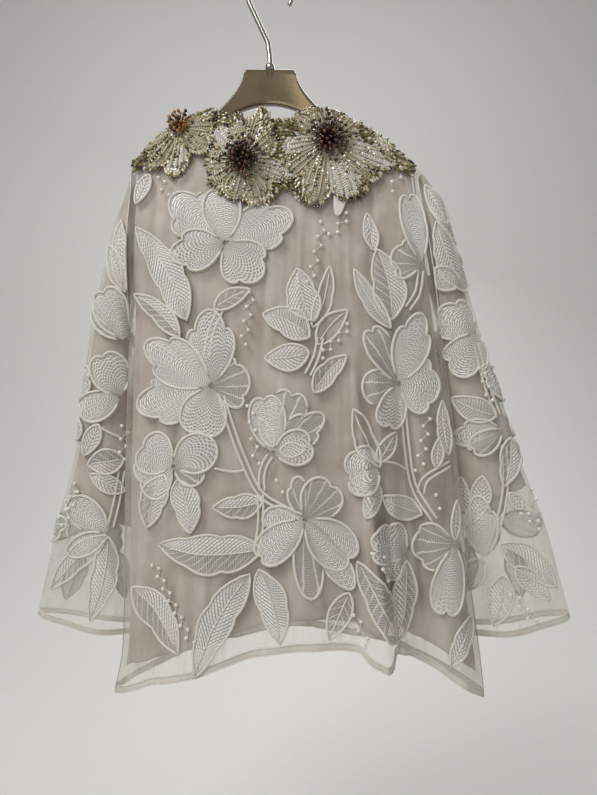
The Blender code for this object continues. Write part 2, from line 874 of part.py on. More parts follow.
def hanger_half_outline():
    """Right half of the hanger's outline, from its top round to the arch."""
    points = [(0.0, HANGER_TOP), (HANGER_NECK, HANGER_TOP)]
    flare = 7
    root = hanger_seat(NECK_HALF)
    for i in range(flare + 1):
        share = i / flare
        x = blend(HANGER_SHOULDER_X, NECK_HALF, share ** HANGER_FLARE)
        points.append((x, blend(HANGER_SHOULDER_Z, root, share)))
    arm = 6
    for i in range(1, arm + 1):
        x = blend(NECK_HALF, HANGER_HALF, i / arm)
        points.append((x, hanger_seat(x)))
    tip_z = hanger_seat(HANGER_HALF)
    radius = ARM_TIP / 2
    for turn in (60, 20, -20, -60):
        angle = math.radians(turn)
        x = HANGER_HALF + radius * 0.9 * math.cos(angle)
        points.append((x, tip_z - radius + radius * math.sin(angle)))
    for i in range(arm + 1):
        share = i / arm
        x = blend(HANGER_HALF - 2, NECK_HALF, share)
        points.append((x, hanger_seat(x) - blend(ARM_TIP, ARM_ROOT, share)))
    arch = 6
    for i in range(arch):
        x = blend(ARCH_HALF, 0.0, i / arch)
        points.append((x, ARCH_TOP - ARCH_DROP * (x / ARCH_HALF) ** 2))
    return points


def build_hanger(finish):
    """Hanger's frame: a flat outline with rounded edges and a drilled top."""
    half = hanger_half_outline()
    left = [(-x, z) for x, z in reversed(half[1:])]
    outline = half + [(0.0, ARCH_TOP)] + left
    bm = bmesh.new()
    corners = [bm.verts.new((x, -HANGER_THICK / 2, z)) for x, z in outline]
    face = bm.faces.new(corners)
    grown = bmesh.ops.extrude_face_region(bm, geom=[face])["geom"]
    moved = [item for item in grown if isinstance(item, bmesh.types.BMVert)]
    bmesh.ops.translate(bm, verts=moved, vec=(0, HANGER_THICK, 0))
    bmesh.ops.recalc_face_normals(bm, faces=bm.faces)
    rims = [e for e in bm.edges if abs(e.verts[0].co.y - e.verts[1].co.y) < 0.1]
    bmesh.ops.bevel(
        bm, geom=rims, offset=HANGER_EDGE, segments=2, profile=0.5, affect="EDGES",
    )
    bmesh.ops.scale(bm, verts=bm.verts, vec=(MM, MM, MM))
    made = add_object("hanger_frame", bm, finish)
    drill = bmesh.new()
    bmesh.ops.create_cone(
        drill, cap_ends=True, segments=16, depth=2 * INSERT_DEPTH + 1,
        radius1=INSERT_RADIUS + SEAM_GAP, radius2=INSERT_RADIUS + SEAM_GAP,
    )
    bmesh.ops.translate(drill, verts=drill.verts, vec=(0, 0, HANGER_TOP))
    bmesh.ops.scale(drill, verts=drill.verts, vec=(MM, MM, MM))
    cutter = add_object("ferrule_hole", drill, finish)
    cutter.hide_render = True
    cutter.display_type = "WIRE"
    cut = made.modifiers.new("ferrule_hole", "BOOLEAN")
    cut.object = cutter
    cut.operation = "DIFFERENCE"
    cut.solver = "EXACT"
    return made


def build_ferrule(finish):
    """Turned ferrule: a domed collar over an insert in the hanger's top."""
    foot = HANGER_TOP + SEAM_GAP
    profile = (
        (INSERT_RADIUS, HANGER_TOP - INSERT_DEPTH + SEAM_GAP),
        (INSERT_RADIUS, foot),
        (FERRULE_RADIUS - 0.4, foot),
        (FERRULE_RADIUS, foot + 1.5),
        (FERRULE_RADIUS, FERRULE_TOP - 3.0),
        (FERRULE_RADIUS - 1.4, FERRULE_TOP),
    )
    bm = bmesh.new()
    verts = [bm.verts.new((r * MM, 0, z * MM)) for r, z in profile]
    edges = [bm.edges.new(pair) for pair in zip(verts, verts[1:])]
    bmesh.ops.spin(
        bm, geom=verts + edges, axis=(0, 0, 1), cent=(0, 0, 0), steps=12,
        angle=2 * math.pi, use_merge=True,
    )
    ends = [e for e in bm.edges if e.is_boundary]
    bmesh.ops.holes_fill(bm, edges=ends, sides=0)
    bmesh.ops.recalc_face_normals(bm, faces=bm.faces)
    return add_object("hanger_ferrule", bm, finish)


def hook_route():
    """Middle line of the hook's wire, from the ferrule to its tail."""
    centre_z = -CROOK_RADIUS + WIRE_RADIUS
    reach = math.hypot(BEND_X, BEND_Z - centre_z)
    to_bend = math.atan2(BEND_Z - centre_z, BEND_X)
    start = to_bend - math.acos(CROOK_RADIUS / reach) + 2 * math.pi
    first = Vector((math.cos(start), 0, math.sin(start))) * CROOK_RADIUS
    first.z += centre_z
    bend = Vector((BEND_X, 0, BEND_Z))
    foot = Vector((0, 0, FERRULE_TOP + SEAM_GAP))
    route = [foot, Vector((-0.6, 0, -96)), Vector((-1.6, 0, -87))]
    lean = 5
    for i in range(1, lean):
        route.append(bend.lerp(first, i / lean))
    turns = 15
    for i in range(turns + 1):
        angle = blend(start, CROOK_TAIL, i / turns)
        route.append(Vector((math.cos(angle), 0, math.sin(angle))) * CROOK_RADIUS)
        route[-1].z += centre_z
    return route


def build_hook(finish):
    """Hook: one bent wire with square-cut ends."""
    curve = bpy.data.curves.new("hanger_hook", "CURVE")
    curve.dimensions = "3D"
    curve.bevel_depth = WIRE_RADIUS * MM
    curve.bevel_resolution = 2
    curve.use_fill_caps = True
    route = hook_route()
    spline = curve.splines.new("POLY")
    spline.points.add(len(route) - 1)
    for point, place in zip(spline.points, route):
        point.co = (*(place * MM), 1.0)
    curve.materials.append(finish)
    made = bpy.data.objects.new("hanger_hook", curve)
    bpy.context.scene.collection.objects.link(made)
    return made


def build_cloth():
    """The panels, the lining, the sleeves and the collar."""
    organza = material("organza", (0.62, 0.58, 0.52), 0.55, alpha=0.75)
    blush = material("blush_lining", (0.42, 0.34, 0.28), 0.6)
    beadwork = material("beadwork", (0.55, 0.5, 0.4), 0.35)
    stamen = material("stamen_beads", (0.1, 0.03, 0.015), 0.25)
    build_panel("front_panel", FRONT, FRONT_GRID, FRONT_FLOWERS, front_density, organza)
    build_panel("back_panel", BACK, BACK_GRID, BACK_FLOWERS, even_density, organza)
    build_lining("lining_front", FRONT, LINING_FRONT_GRID, front_density, blush)
    build_lining("lining_back", BACK, LINING_BACK_GRID, even_density, blush)
    build_sleeve("sleeve_left", SLEEVE_LEFT, -1.0, organza)
    build_sleeve("sleeve_right", SLEEVE_RIGHT, 1.0, organza)
    build_sleeve_lining(
        "sleeve_lining_left", SLEEVE_LEFT, SLEEVE_LINING_LEFT, -1.0, blush,
    )
    build_sleeve_lining(
        "sleeve_lining_right", SLEEVE_RIGHT, SLEEVE_LINING_RIGHT, 1.0, blush,
    )
    build_collar(
        "collar_front", FRONT, FRONT_GRID, COLLAR_FLOWERS, front_density, beadwork,
    )
    build_collar("collar_back", BACK, BACK_GRID, (), even_density, beadwork)
    for tuft, flower in zip(TUFTS, COLLAR_FLOWERS):
        build_stamens(tuft, flower, stamen)


def build_hanging():
    """The hanger's frame, its ferrule and its hook."""
    acrylic = material("smoky_acrylic", (0.16, 0.12, 0.07), 0.12, alpha=0.7)
    steel = material("hook_steel", (0.45, 0.4, 0.36), 0.25, metallic=1.0)
    build_hanger(acrylic)
    build_ferrule(steel)
    build_hook(steel)


for old in list(bpy.data.objects):
    bpy.data.objects.remove(old, do_unlink=True)
build_cloth()
build_hanging()
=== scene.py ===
"""Looks of the embroidered blouse on its hanger, dressed over its solids.

World frame: metres, +Z up, the front faces -Y, and the origin is the inside
top of the hanger's hook. The forms below are worked out in millimetres and
turned into metres where a mesh is made.
"""

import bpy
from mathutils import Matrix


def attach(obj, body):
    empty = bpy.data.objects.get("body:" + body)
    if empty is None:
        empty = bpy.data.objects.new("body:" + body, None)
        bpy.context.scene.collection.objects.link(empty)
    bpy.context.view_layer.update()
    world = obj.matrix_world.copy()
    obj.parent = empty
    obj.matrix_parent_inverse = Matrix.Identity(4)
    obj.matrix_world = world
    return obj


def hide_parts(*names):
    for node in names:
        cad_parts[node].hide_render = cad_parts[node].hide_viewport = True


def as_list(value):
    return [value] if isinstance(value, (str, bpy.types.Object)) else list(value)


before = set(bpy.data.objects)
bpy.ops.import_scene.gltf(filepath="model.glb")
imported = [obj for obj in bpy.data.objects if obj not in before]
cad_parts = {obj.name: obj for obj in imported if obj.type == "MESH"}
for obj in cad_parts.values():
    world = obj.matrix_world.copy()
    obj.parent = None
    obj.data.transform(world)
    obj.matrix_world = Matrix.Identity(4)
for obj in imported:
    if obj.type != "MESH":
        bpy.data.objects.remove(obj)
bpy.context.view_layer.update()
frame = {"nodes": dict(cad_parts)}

import copy
import logging
import random
from collections.abc import Callable, Sequence
from dataclasses import dataclass, field
from enum import Enum
from math import acos, atan2, copysign, cos, hypot, pi, radians, sin, sqrt

import bmesh
import bpy
from bmesh.types import BMesh, BMVert
from bpy.types import Material, Mesh, Node, NodeSocket, Object
from mathutils import Matrix, Vector

MM = 0.001
SNAP = 1e-7
LOG = logging.getLogger("blouse")


# Measures


def blend(low: float, high: float, share: float) -> float:
    """Value a share of the way from low to high."""
    return low + (high - low) * share


def clamp(value: float, low: float, high: float) -> float:
    """Value held between low and high."""
    return min(max(value, low), high)


def ease(low: float, high: float, value: float) -> float:
    """Smooth rise from 0 at low to 1 at high."""
    share = clamp((value - low) / (high - low), 0.0, 1.0)
    return share * share * (3 - 2 * share)


class Side(Enum):
    """The two faces of the blouse."""

    FRONT = -1
    BACK = 1


class Fill(Enum):
    """How the inside of a petal or leaf is stitched."""

    SATIN = 0
    LATTICE = 1
    VEIN = 2


class Track:
    """A value that runs smoothly through a table of places."""

    def __init__(self, places: Sequence[float], values: Sequence[float]) -> None:
        """Keep the table with its places rising.

        Args:
            places: Places in order, rising or falling.
            values: The value at each place.
        """
        self.turned = places[0] > places[-1]
        self.keys = [-p for p in places] if self.turned else list(places)
        self.values = list(values)
        last = len(self.keys) - 1
        self.slopes = []
        for k in range(last + 1):
            low, high = max(k - 1, 0), min(k + 1, last)
            rise = self.values[high] - self.values[low]
            self.slopes.append(rise / (self.keys[high] - self.keys[low]))

    def at(self, place: float) -> float:
        """Value at a place, held past both ends.

        Args:
            place: Where to read the table.

        Returns:
            The smoothed value.
        """
        if self.turned:
            place = -place
        keys, values = self.keys, self.values
        if place <= keys[0]:
            return values[0]
        if place >= keys[-1]:
            return values[-1]
        i = 0
        while keys[i + 1] < place:
            i += 1
        span = keys[i + 1] - keys[i]
        t = (place - keys[i]) / span
        rise = t * t * (3 - 2 * t)
        start = t - 2 * t * t + t ** 3
        end = t ** 3 - t * t
        bent = span * (start * self.slopes[i] + end * self.slopes[i + 1])
        return blend(values[i], values[i + 1], rise) + bent


# Forms


@dataclass(frozen=True)
class Fold:
    """A fold that runs down to the hem: a ridge, or a trough where negative."""

    top_x: float
    top_z: float
    hem_x: float
    left_width: float
    right_width: float
    depth: float


@dataclass(frozen=True)
class Crease:
    """A soft uneven ridge, or a trough where negative, from end to end."""

    x0: float
    z0: float
    x1: float
    z1: float
    width: float
    height: float
    bow: float = 0.0

    def lift(self, x: float, z: float) -> float:
        """Height that the crease adds at a point.

        Args:
            x: Place across.
            z: Height.

        Returns:
            Millimetres outwards.
        """
        dx, dz = self.x1 - self.x0, self.z1 - self.z0
        length = hypot(dx, dz)
        along = ((x - self.x0) * dx + (z - self.z0) * dz) / (length * length)
        if not 0 < along < 1:
            return 0.0
        off = ((x - self.x0) * dz - (z - self.z0) * dx) / length
        off -= self.bow * sin(pi * along)
        width = self.width * (0.8 + 0.35 * sin(5.3 * along + self.x0))
        if abs(off) >= width:
            return 0.0
        taper = sin(pi * along) ** 0.6
        return self.height * taper * cos(off / width * pi / 2) ** 2


BODY = (
    (-227, -163, 172, 24, 18),
    (-330, -166, 187, 32, 21),
    (-413, -168, 202, 38, 23),
    (-553, -172, 221, 44, 25),
    (-682, -174, 234, 50, 27),
    (-809, -177, 251, 58, 29),
    (-864, -188, 257, 62, 30),
)
FRONT_FOLDS = [Fold(*row) for row in (
    (118, -430, 128, 34, 18, 24), (150, -470, 164, 24, 46, -24), (200, -560, 226, 26, 24, 8),
    (30, -290, 42, 60, 50, 8), (-12, -360, -22, 34, 32, -6), (-70, -400, -80, 34, 36, 7),
    (-122, -270, -134, 32, 28, -8),
)]
BACK_FOLDS = [Fold(*row) for row in (
    (-70, -330, -92, 38, 34, 6), (-20, -380, -34, 34, 34, -6), (24, -320, 30, 36, 36, 7),
    (86, -360, 98, 36, 30, -7), (132, -400, 152, 30, 34, 6),
)]
FRONT_CREASES = [Crease(*row) for row in (
    (-128, -232, -134, -420, 12, -2.2, 3), (-104, -236, -112, -380, 10, 1.6, -2),
    (40, -270, 36, -470, 9, 1.8, 3), (58, -280, 64, -520, 8, -1.5, -4),
    (128, -240, 120, -400, 13, -2.4, 5), (150, -236, 176, -420, 10, 1.8, 4),
    (4, -300, -6, -520, 10, -1.3, 4), (90, -300, 104, -440, 9, 1.2, 3),
    (-160, -430, -140, -600, 9, 1.6, -3), (-150, -640, -164, -840, 12, -2.0, 5),
    (-128, -700, -120, -850, 9, 1.8, -3), (-60, -660, -66, -800, 10, -1.6, 3),
    (0, -640, 6, -790, 9, 1.5, -3), (60, -660, 70, -790, 10, -1.5, 2),
    (180, -620, 200, -820, 8, 1.6, 4), (226, -640, 236, -850, 8, -1.8, 3),
    (176, -330, 206, -480, 7, -1.4, 3), (93, -450, 169, -1100, 11, 7.0),
    (107, -450, 183, -1100, 12, -14.0), (140, -440, 200, -900, 24, -7.0, -6),
)]
BACK_CREASES = [Crease(*row) for row in (
    (-120, -240, -130, -480, 14, -2.4, 5), (-60, -250, -44, -470, 12, 2.0, -4),
    (6, -260, 0, -540, 13, -2.2, 5), (64, -250, 72, -460, 12, 1.8, 4),
    (124, -240, 150, -470, 13, -2.2, -5), (-140, -520, -160, -840, 12, 2.2, 5),
    (-60, -560, -70, -800, 12, -2.2, -4), (60, -540, 64, -790, 13, 2.0, 5),
    (190, -520, 214, -850, 12, -2.2, 4), (-140, -330, -168, -960, 16, 4.2, 3),
    (-30, -300, -46, -940, 17, -3.8, -4), (44, -330, 58, -950, 16, 4.0, 4),
    (146, -350, 182, -960, 18, -4.6, -3),
)]


FOLDS = {Side.FRONT: FRONT_FOLDS, Side.BACK: BACK_FOLDS}
CREASES = {Side.FRONT: FRONT_CREASES, Side.BACK: BACK_CREASES}


class BodyForm:
    """The hung form of the body, front and back."""

    def __init__(self) -> None:
        """Read the body's table into tracks."""
        heights = [row[0] for row in BODY]
        columns = [Track(heights, [row[k] for row in BODY]) for k in range(1, 5)]
        self.left, self.right = columns[0], columns[1]
        self.deep = {Side.FRONT: columns[2], Side.BACK: columns[3]}
        self.neck_half = 68.0
        self.neck_top = -163.5
        self.tips = ((-163.0, -227.0), (172.0, -231.0))
        self.armpit = -413.0
        self.hem_band = 8.0
        self.lining_inset = 7.0
        self.gap = 0.15

    def top_line(self, x: float, side: Side) -> float:
        """Height of a panel's top edge: the neckline, then the shoulder."""
        if abs(x) < self.neck_half:
            dip = 22.0 if side is Side.FRONT else 20.0
            return self.neck_top - dip * (1 - abs(x / self.neck_half) ** 2.4)
        tip_x, tip_z = self.tips[0] if x < 0 else self.tips[1]
        share = (abs(x) - self.neck_half) / (abs(tip_x) - self.neck_half)
        crown = 7.0 * sin(pi * clamp(share, 0, 1))
        return blend(self.neck_top, tip_z, share) + crown

    def hem_line(self, across: float, side: Side) -> float:
        """Height of the hem from the left seam, -1, to the right seam, 1."""
        corner = -857.0 if across < 0 else -864.0
        if side is Side.BACK:
            return blend(-792.0, corner, abs(across) ** 2.0)
        lap = 9.0 * max(1 - ((across - 0.42) / 0.1) ** 4, 0.0)
        return blend(-786.0, corner, abs(across) ** (1.3 if across < 0 else 2.6)) - lap

    def x_of(self, across: float, z: float) -> float:
        """Sideways place of a column of the body at a height."""
        return blend(self.left.at(z), self.right.at(z), (across + 1) / 2)

    def across_of(self, x: float, z: float) -> float:
        """Column of the body that passes through x at a height."""
        left, right = self.left.at(z), self.right.at(z)
        return clamp(2 * (x - left) / (right - left) - 1, -1.0, 1.0)

    def top_x(self, across: float) -> float:
        """Where a column starts along the top."""
        return blend(self.tips[0][0], self.tips[1][0], (across + 1) / 2)

    def armhole(self, across: float, z: float, side: Side) -> float:
        """Half of the armhole's opening at a height."""
        tip_z = self.tips[0][1] if across < 0 else self.tips[1][1]
        share = (tip_z - z) / (tip_z - self.armpit)
        if not 0 < share < 1:
            return self.gap
        most = 24.0 if side is Side.FRONT else 22.0
        return self.gap + most * sin(pi * share) ** 0.75

    def folded(self, x: float, z: float, side: Side) -> float:
        """How far the folds bring the cloth out at a point."""
        total = 0.0
        for fold in FOLDS[side]:
            run = (fold.top_z - z) / (fold.top_z + 786.0)
            if run <= 0:
                continue
            off = x - blend(fold.top_x, fold.hem_x, run)
            width = fold.left_width if off < 0 else fold.right_width
            width *= blend(0.7, 1.0, min(run, 1.0))
            if abs(off) < width:
                crest = cos(off / width * pi / 2) ** 2
                total += fold.depth * min(run, 1.1) ** 0.9 * crest
        return total

    def crown(self, across: float, z: float) -> float:
        """Share of the full depth in a column, rounder below the armpit."""
        low_body = ease(self.armpit + 60, self.armpit - 20, z)
        return (1 - abs(across) ** 2.6) ** blend(1.0, 0.62, low_body)

    def depth(self, across: float, z: float, side: Side) -> float:
        """How far a panel's plain outer face stands from the seam plane.

        Args:
            across: Column, -1 at the left and 1 at the right.
            z: Height.
            side: Front or back.

        Returns:
            Millimetres.
        """
        top_x = self.top_x(across)
        drop = max(self.top_line(top_x, side) - z, 0.0)
        full = self.deep[side].at(z)
        crown = self.crown(across, z)
        edge = self.armhole(across, z, side)
        deep = edge + (full - edge) * crown
        inside = ease(0.0, 0.14, 1 - abs(across))
        deep += self.folded(self.x_of(across, z), z, side) * inside
        over = min(drop / 11.0, 1.0)
        rounded = 11.0 * sqrt(1 - (1 - over) ** 2)
        neck = 0.0
        if abs(top_x) < self.neck_half:
            most = 24.0 if side is Side.FRONT else 20.0
            neck = most * sqrt(1 - (top_x / self.neck_half) ** 4)
        near_top = (neck ** 4 + rounded ** 4) ** 0.25
        return max(blend(near_top, deep, ease(0, 90.0, drop)), self.gap)

    @staticmethod
    def fine(x: float, z: float, side: Side) -> float:
        """How far the fine creases bring the cloth out at a point."""
        return sum(crease.lift(x, z) for crease in CREASES[side])

    def dressed(self, across: float, z: float, side: Side) -> float:
        """Depth of the outer face with its fine creases."""
        fine = self.fine(self.x_of(across, z), z, side) * ease(0.0, 0.1, 1 - abs(across))
        return max(self.depth(across, z, side) + fine, self.gap)

    def panel_point(self, across: float, z: float, side: Side, lift: float = 0.0) -> Vector:
        """Point of a panel's outer face in one column, at a height."""
        depth = self.dressed(across, z, side) + lift
        return Vector((self.x_of(across, z), side.value * depth, z))

    def lining(self, x: float, z: float, side: Side, below: float) -> float:
        """How far the lining stands from the seam plane, inside the shell.

        Args:
            x: Place across.
            z: Height.
            side: Front or back.
            below: Drop below the lining's top.

        Returns:
            Millimetres from the seam plane.
        """
        grown = ease(0, 60.0, below)
        window = blend(5.0, 12.0, grown)
        nearest = min(
            self.depth(self.across_of(x + step * window, z), z, side)
            for step in (-1, -0.5, 0, 0.5, 1)
        )
        left = self.left.at(z) + self.lining_inset
        right = self.right.at(z) - self.lining_inset
        across = clamp(2 * (x - left) / (right - left) - 1, -1.0, 1.0)
        edge = max(self.armhole(across, z, side) - 5, self.gap)
        crown = self.crown(across, z)
        own = edge + (self.deep[side].at(z) + 40 - edge) * crown
        return max(min(own, nearest - blend(2.0, 5.0, grown)), self.gap)


SLEEVE_LEFT = (
    (0.00, -163.4, -227, -168.4, -413, 0, 0, 23),
    (0.08, -170, -258, -171, -424, 1, 7, 25),
    (0.16, -186, -298, -170, -438, 2, 13, 26),
    (0.25, -197, -342, -167, -458, 4, 19, 26),
    (0.38, -215, -414, -162, -492, 6, 26, 25),
    (0.52, -228, -508, -157, -560, 10, 33, 23),
    (0.64, -238, -576, -151, -622, 13, 39, 22),
    (0.78, -260, -655, -143, -692, 17, 44, 22),
    (0.90, -276, -724, -136, -752, 20, 48, 23),
    (1.00, -287, -771, -130, -797, 22, 51, 24),
)
SLEEVE_RIGHT = (
    (0.00, 172.4, -231, 202.4, -413, 0, 0, 23),
    (0.08, 194, -256, 206, -424, 1, 7, 25),
    (0.16, 211, -290, 206, -438, 2, 13, 26),
    (0.25, 226, -336, 205, -458, 4, 19, 26),
    (0.38, 249, -414, 206, -492, 6, 26, 25),
    (0.52, 280, -504, 211, -560, 10, 33, 23),
    (0.64, 304, -580, 215, -622, 13, 39, 22),
    (0.78, 338, -667, 217, -692, 17, 44, 22),
    (0.90, 353, -718, 216, -752, 20, 48, 23),
    (1.00, 369, -775, 212, -800, 22, 51, 24),
)


class SleeveForm:
    """The hung form of one bell sleeve."""

    def __init__(self, body: BodyForm, rows: Sequence[tuple], across: float) -> None:
        """Read a sleeve's table into tracks.

        Args:
            body: The body it joins.
            rows: The sleeve's rings.
            across: -1 on the left, 1 on the right.
        """
        keys = [row[0] for row in rows]
        tracks = [Track(keys, [row[k] for row in rows]) for k in range(1, 8)]
        self.outer_x, self.outer_z, self.inner_x, self.inner_z = tracks[:4]
        self.outer_y, self.inner_y, self.half = tracks[4:]
        self.body = body
        self.across = across

    def middle_y(self, along: float, share: float) -> float:
        """Middle of the sleeve's depth, from its outer to its inner edge."""
        return blend(self.outer_y.at(along), self.inner_y.at(along), share)

    def point(self, along: float, angle: float) -> Vector:
        """Point of the sleeve's outer face.

        Args:
            along: 0 at the armhole to 1 at the cuff.
            angle: Turn from the outer edge, front first.

        Returns:
            The point.
        """
        share = (1 - cos(angle)) / 2
        x = blend(self.outer_x.at(along), self.inner_x.at(along), share)
        z = blend(self.outer_z.at(along), self.inner_z.at(along), share)
        wave = 1 + 0.16 * along ** 2 * sin(5 * angle)
        middle = self.middle_y(along, share)
        hung = middle - self.half.at(along) * sin(angle) * wave
        z -= 9.0 * along ** 3 * sin(angle) ** 2
        if along < 0.2:
            side = Side.FRONT if sin(angle) > 0 else Side.BACK
            depth = side.value * self.body.depth(self.across, z, side)
            hung = blend(depth, hung, ease(0.0, 0.2, along))
            armhole_x = self.body.x_of(self.across, z) + self.across * 0.4
            x = blend(armhole_x, x, ease(0.0, 0.02, along))
        return Vector((x, hung, z))

    def creased(self, along: float, angle: float) -> Vector:
        """Point of the outer face with soft lengthwise creases."""
        point = self.point(along, angle)
        fade = ease(0.06, 0.3, along)
        ripple = sin(3 * angle + 4.2 * along + 1.1 * self.across)
        ripple += 0.6 * sin(7 * angle - 3.1 * along)
        ripple += 0.4 * sin(11 * along + 2 * angle)
        point.y -= 1.1 * fade * ripple * abs(sin(angle)) ** 0.5
        return point

    def lining(self, along: float, angle: float, inset: float) -> Vector:
        """Point of the sleeve's lining, brought in from the sleeve."""
        share = (1 - cos(angle)) / 2
        point = self.point(along, angle)
        middle = self.middle_y(along, share)
        point.x -= self.across * blend(inset, -inset, share)
        point.y = blend(middle, point.y, 1 - inset / self.half.at(along))
        return point


# Cloth faces


class Face:
    """A cloth face sampled on an even grid, read back smoothly."""

    def __init__(self, columns: int, rows: int, at: Callable) -> None:
        """Sample the face.

        Args:
            columns: Cells across.
            rows: Cells down.
            at: Function from a column and a row to a point.
        """
        self.columns, self.rows = columns, rows
        self.points = [[at(i, j) for i in range(columns + 1)] for j in range(rows + 1)]

    def read(self, column: float, row: float) -> Vector:
        """Point at a place between the samples."""
        column = clamp(column, 0.0, self.columns - 1e-6)
        row = clamp(row, 0.0, self.rows - 1e-6)
        i, j = int(column), int(row)
        upper, lower = self.points[j], self.points[j + 1]
        top = upper[i].lerp(upper[i + 1], column - i)
        return top.lerp(lower[i].lerp(lower[i + 1], column - i), row - j)

    def raised(self, column: float, row: float, lift: float) -> Vector:
        """Point stood off from the face along its own direction."""
        point = self.read(column, row)
        across = self.read(column + 0.5, row) - self.read(column - 0.5, row)
        down = self.read(column, row + 0.5) - self.read(column, row - 0.5)
        way = across.cross(down)
        if way.length < 1e-9:
            return point
        return point + way.normalized() * lift * self.outward()

    def outward(self) -> float:
        """Sign that turns the sampled direction outwards."""
        return 1.0

    def place(self, x: float, z: float, lift: float) -> Vector:
        """Point over a place as seen from the front."""
        raise NotImplementedError


class BodyFace(Face):
    """The front or the back of the body."""

    def __init__(
        self, body: BodyForm, side: Side, left: float = -200.0, top: float = -158.0,
        step_x: float = 3.0, step_z: float = 5.0, columns: int = 157, rows: int = 144,
        plain: bool = False,
    ) -> None:
        """Sample one side of the body.

        Args:
            body: The body's form.
            side: Front or back.
            left: Where the samples start across.
            top: Where they start down.
            step_x: Millimetres between columns.
            step_z: Millimetres between rows.
            columns: Cells across.
            rows: Cells down.
            plain: Whether the fine creases are left out.
        """
        self.body, self.side = body, side
        self.left, self.top, self.step_x, self.step_z = left, top, step_x, step_z
        depth_of = body.depth if plain else body.dressed

        def at(i: int, j: int) -> Vector:
            """Point of the body at a sample."""
            x, z = left + i * step_x, top - j * step_z
            across = body.across_of(x, z)
            depth = depth_of(across, z, side)
            return Vector((body.x_of(across, z), side.value * depth, z))

        super().__init__(columns, rows, at)

    def outward(self) -> float:
        """Sign that turns the sampled direction outwards."""
        return float(self.side.value)

    def place(self, x: float, z: float, lift: float) -> Vector:
        """Point over a place on the body.

        Args:
            x: Place across.
            z: Height.
            lift: How far it stands off.

        Returns:
            The point.
        """
        column = (x - self.left) / self.step_x
        return self.raised(column, (self.top - z) / self.step_z, lift)


class SleeveFace(Face):
    """The outside of a sleeve, reached by its place as seen from the front."""

    top, step_z, turns = -232.0, 6.0, 24

    def __init__(self, sleeve: SleeveForm) -> None:
        """Sample a sleeve by height and by its place across.

        Args:
            sleeve: The sleeve's form.
        """
        self.across = sleeve.across
        self.side = Side.FRONT
        stations = [k / 70 for k in range(71)]
        fine = 40
        halves = []
        for sign in (-1, 1):
            columns = []
            for i in range(fine + 1):
                angle = sign * pi * i / fine
                columns.append([sleeve.creased(along, angle) for along in stations])
            halves.append(columns)
        rows = [[self.level(half, self.top - j * self.step_z) for half in halves]
                for j in range(97)]
        self.outer = [row[1][0].x for row in rows]
        self.inner = [row[1][-1].x for row in rows]

        def at(i: int, j: int) -> Vector:
            """Point of the sleeve at a sample."""
            turn = pi * (i - self.turns) / self.turns
            line = rows[j][0 if turn < 0 else 1]
            share = (1 - cos(turn)) / 2
            goal = blend(line[0].x, line[-1].x, share)
            for near, far in zip(line, line[1:]):
                if (near.x - goal) * (far.x - goal) <= 0 and near.x != far.x:
                    return near.lerp(far, (goal - near.x) / (far.x - near.x))
            return line[-1]

        super().__init__(2 * self.turns, 96, at)

    @staticmethod
    def level(columns: list, z: float) -> list:
        """Points of one half of the sleeve at a height, outer edge first.

        Args:
            columns: Points down the sleeve for each turn round it.
            z: Height.

        Returns:
            The points, ending at the armhole or at the inner edge.
        """
        found = []
        for column in columns:
            if z >= column[0].z:
                if found:
                    break
                return [column[0]] * 2
            point = column[-1]
            for above, under in zip(column, column[1:]):
                if under.z <= z < above.z:
                    point = above.lerp(under, (above.z - z) / (above.z - under.z))
                    break
            found.append(point)
        return found if len(found) > 1 else found * 2

    def outward(self) -> float:
        """Sign that turns the sampled direction outwards."""
        return self.across

    def seen_from(self, side: Side) -> "SleeveFace":
        """The same samples, reached as seen from the front or the back."""
        other = copy.copy(self)
        other.side = side
        return other

    def place(self, x: float, z: float, lift: float) -> Vector:
        """Point over a place, wrapped over the outer edge past it.

        Args:
            x: Place across.
            z: Height.
            lift: How far it stands off.

        Returns:
            The point.
        """
        row = clamp((self.top - z) / self.step_z, 0.0, self.rows - 1.0)
        j = int(row)
        outer = blend(self.outer[j], self.outer[j + 1], row - j)
        inner = blend(self.inner[j], self.inner[j + 1], row - j)
        share = 0.0 if abs(inner - outer) < 1 else (x - outer) / (inner - outer)
        share = clamp(share, -0.9, 1.0)
        turn = copysign(acos(1 - 2 * abs(share)), share)
        turn *= -self.side.value
        return self.raised(self.turns * (1 + turn / pi), row, lift)


# Meshes


def sheet_grid(
    bm: BMesh, columns: int, rows: int, at: Callable, closed: bool = False
) -> list:
    """Add a grid whose points are carried to a form, with a UV map.

    Args:
        bm: Mesh to add to.
        columns: Cells across.
        rows: Cells down.
        at: Function from shares across and down to a point in millimetres
            and a UV place.
        closed: Whether the two side edges meet.

    Returns:
        The new faces.
    """
    layer = bm.loops.layers.uv.verify()
    made = bmesh.ops.create_grid(bm, x_segments=columns, y_segments=rows, size=0.5)
    verts = made["verts"]
    faces = list({face for vert in verts for face in vert.link_faces})
    places = {}
    for vert in verts:
        point, uv = at(vert.co.x + 0.5, 0.5 - vert.co.y)
        vert.co = point * MM
        places[vert] = uv
    for face in faces:
        for loop in face.loops:
            loop[layer].uv = places[loop.vert]
    if closed:
        rim = [v for v in verts if v.is_boundary]
        bmesh.ops.remove_doubles(bm, verts=rim, dist=SNAP)
    return [face for face in faces if face.is_valid]


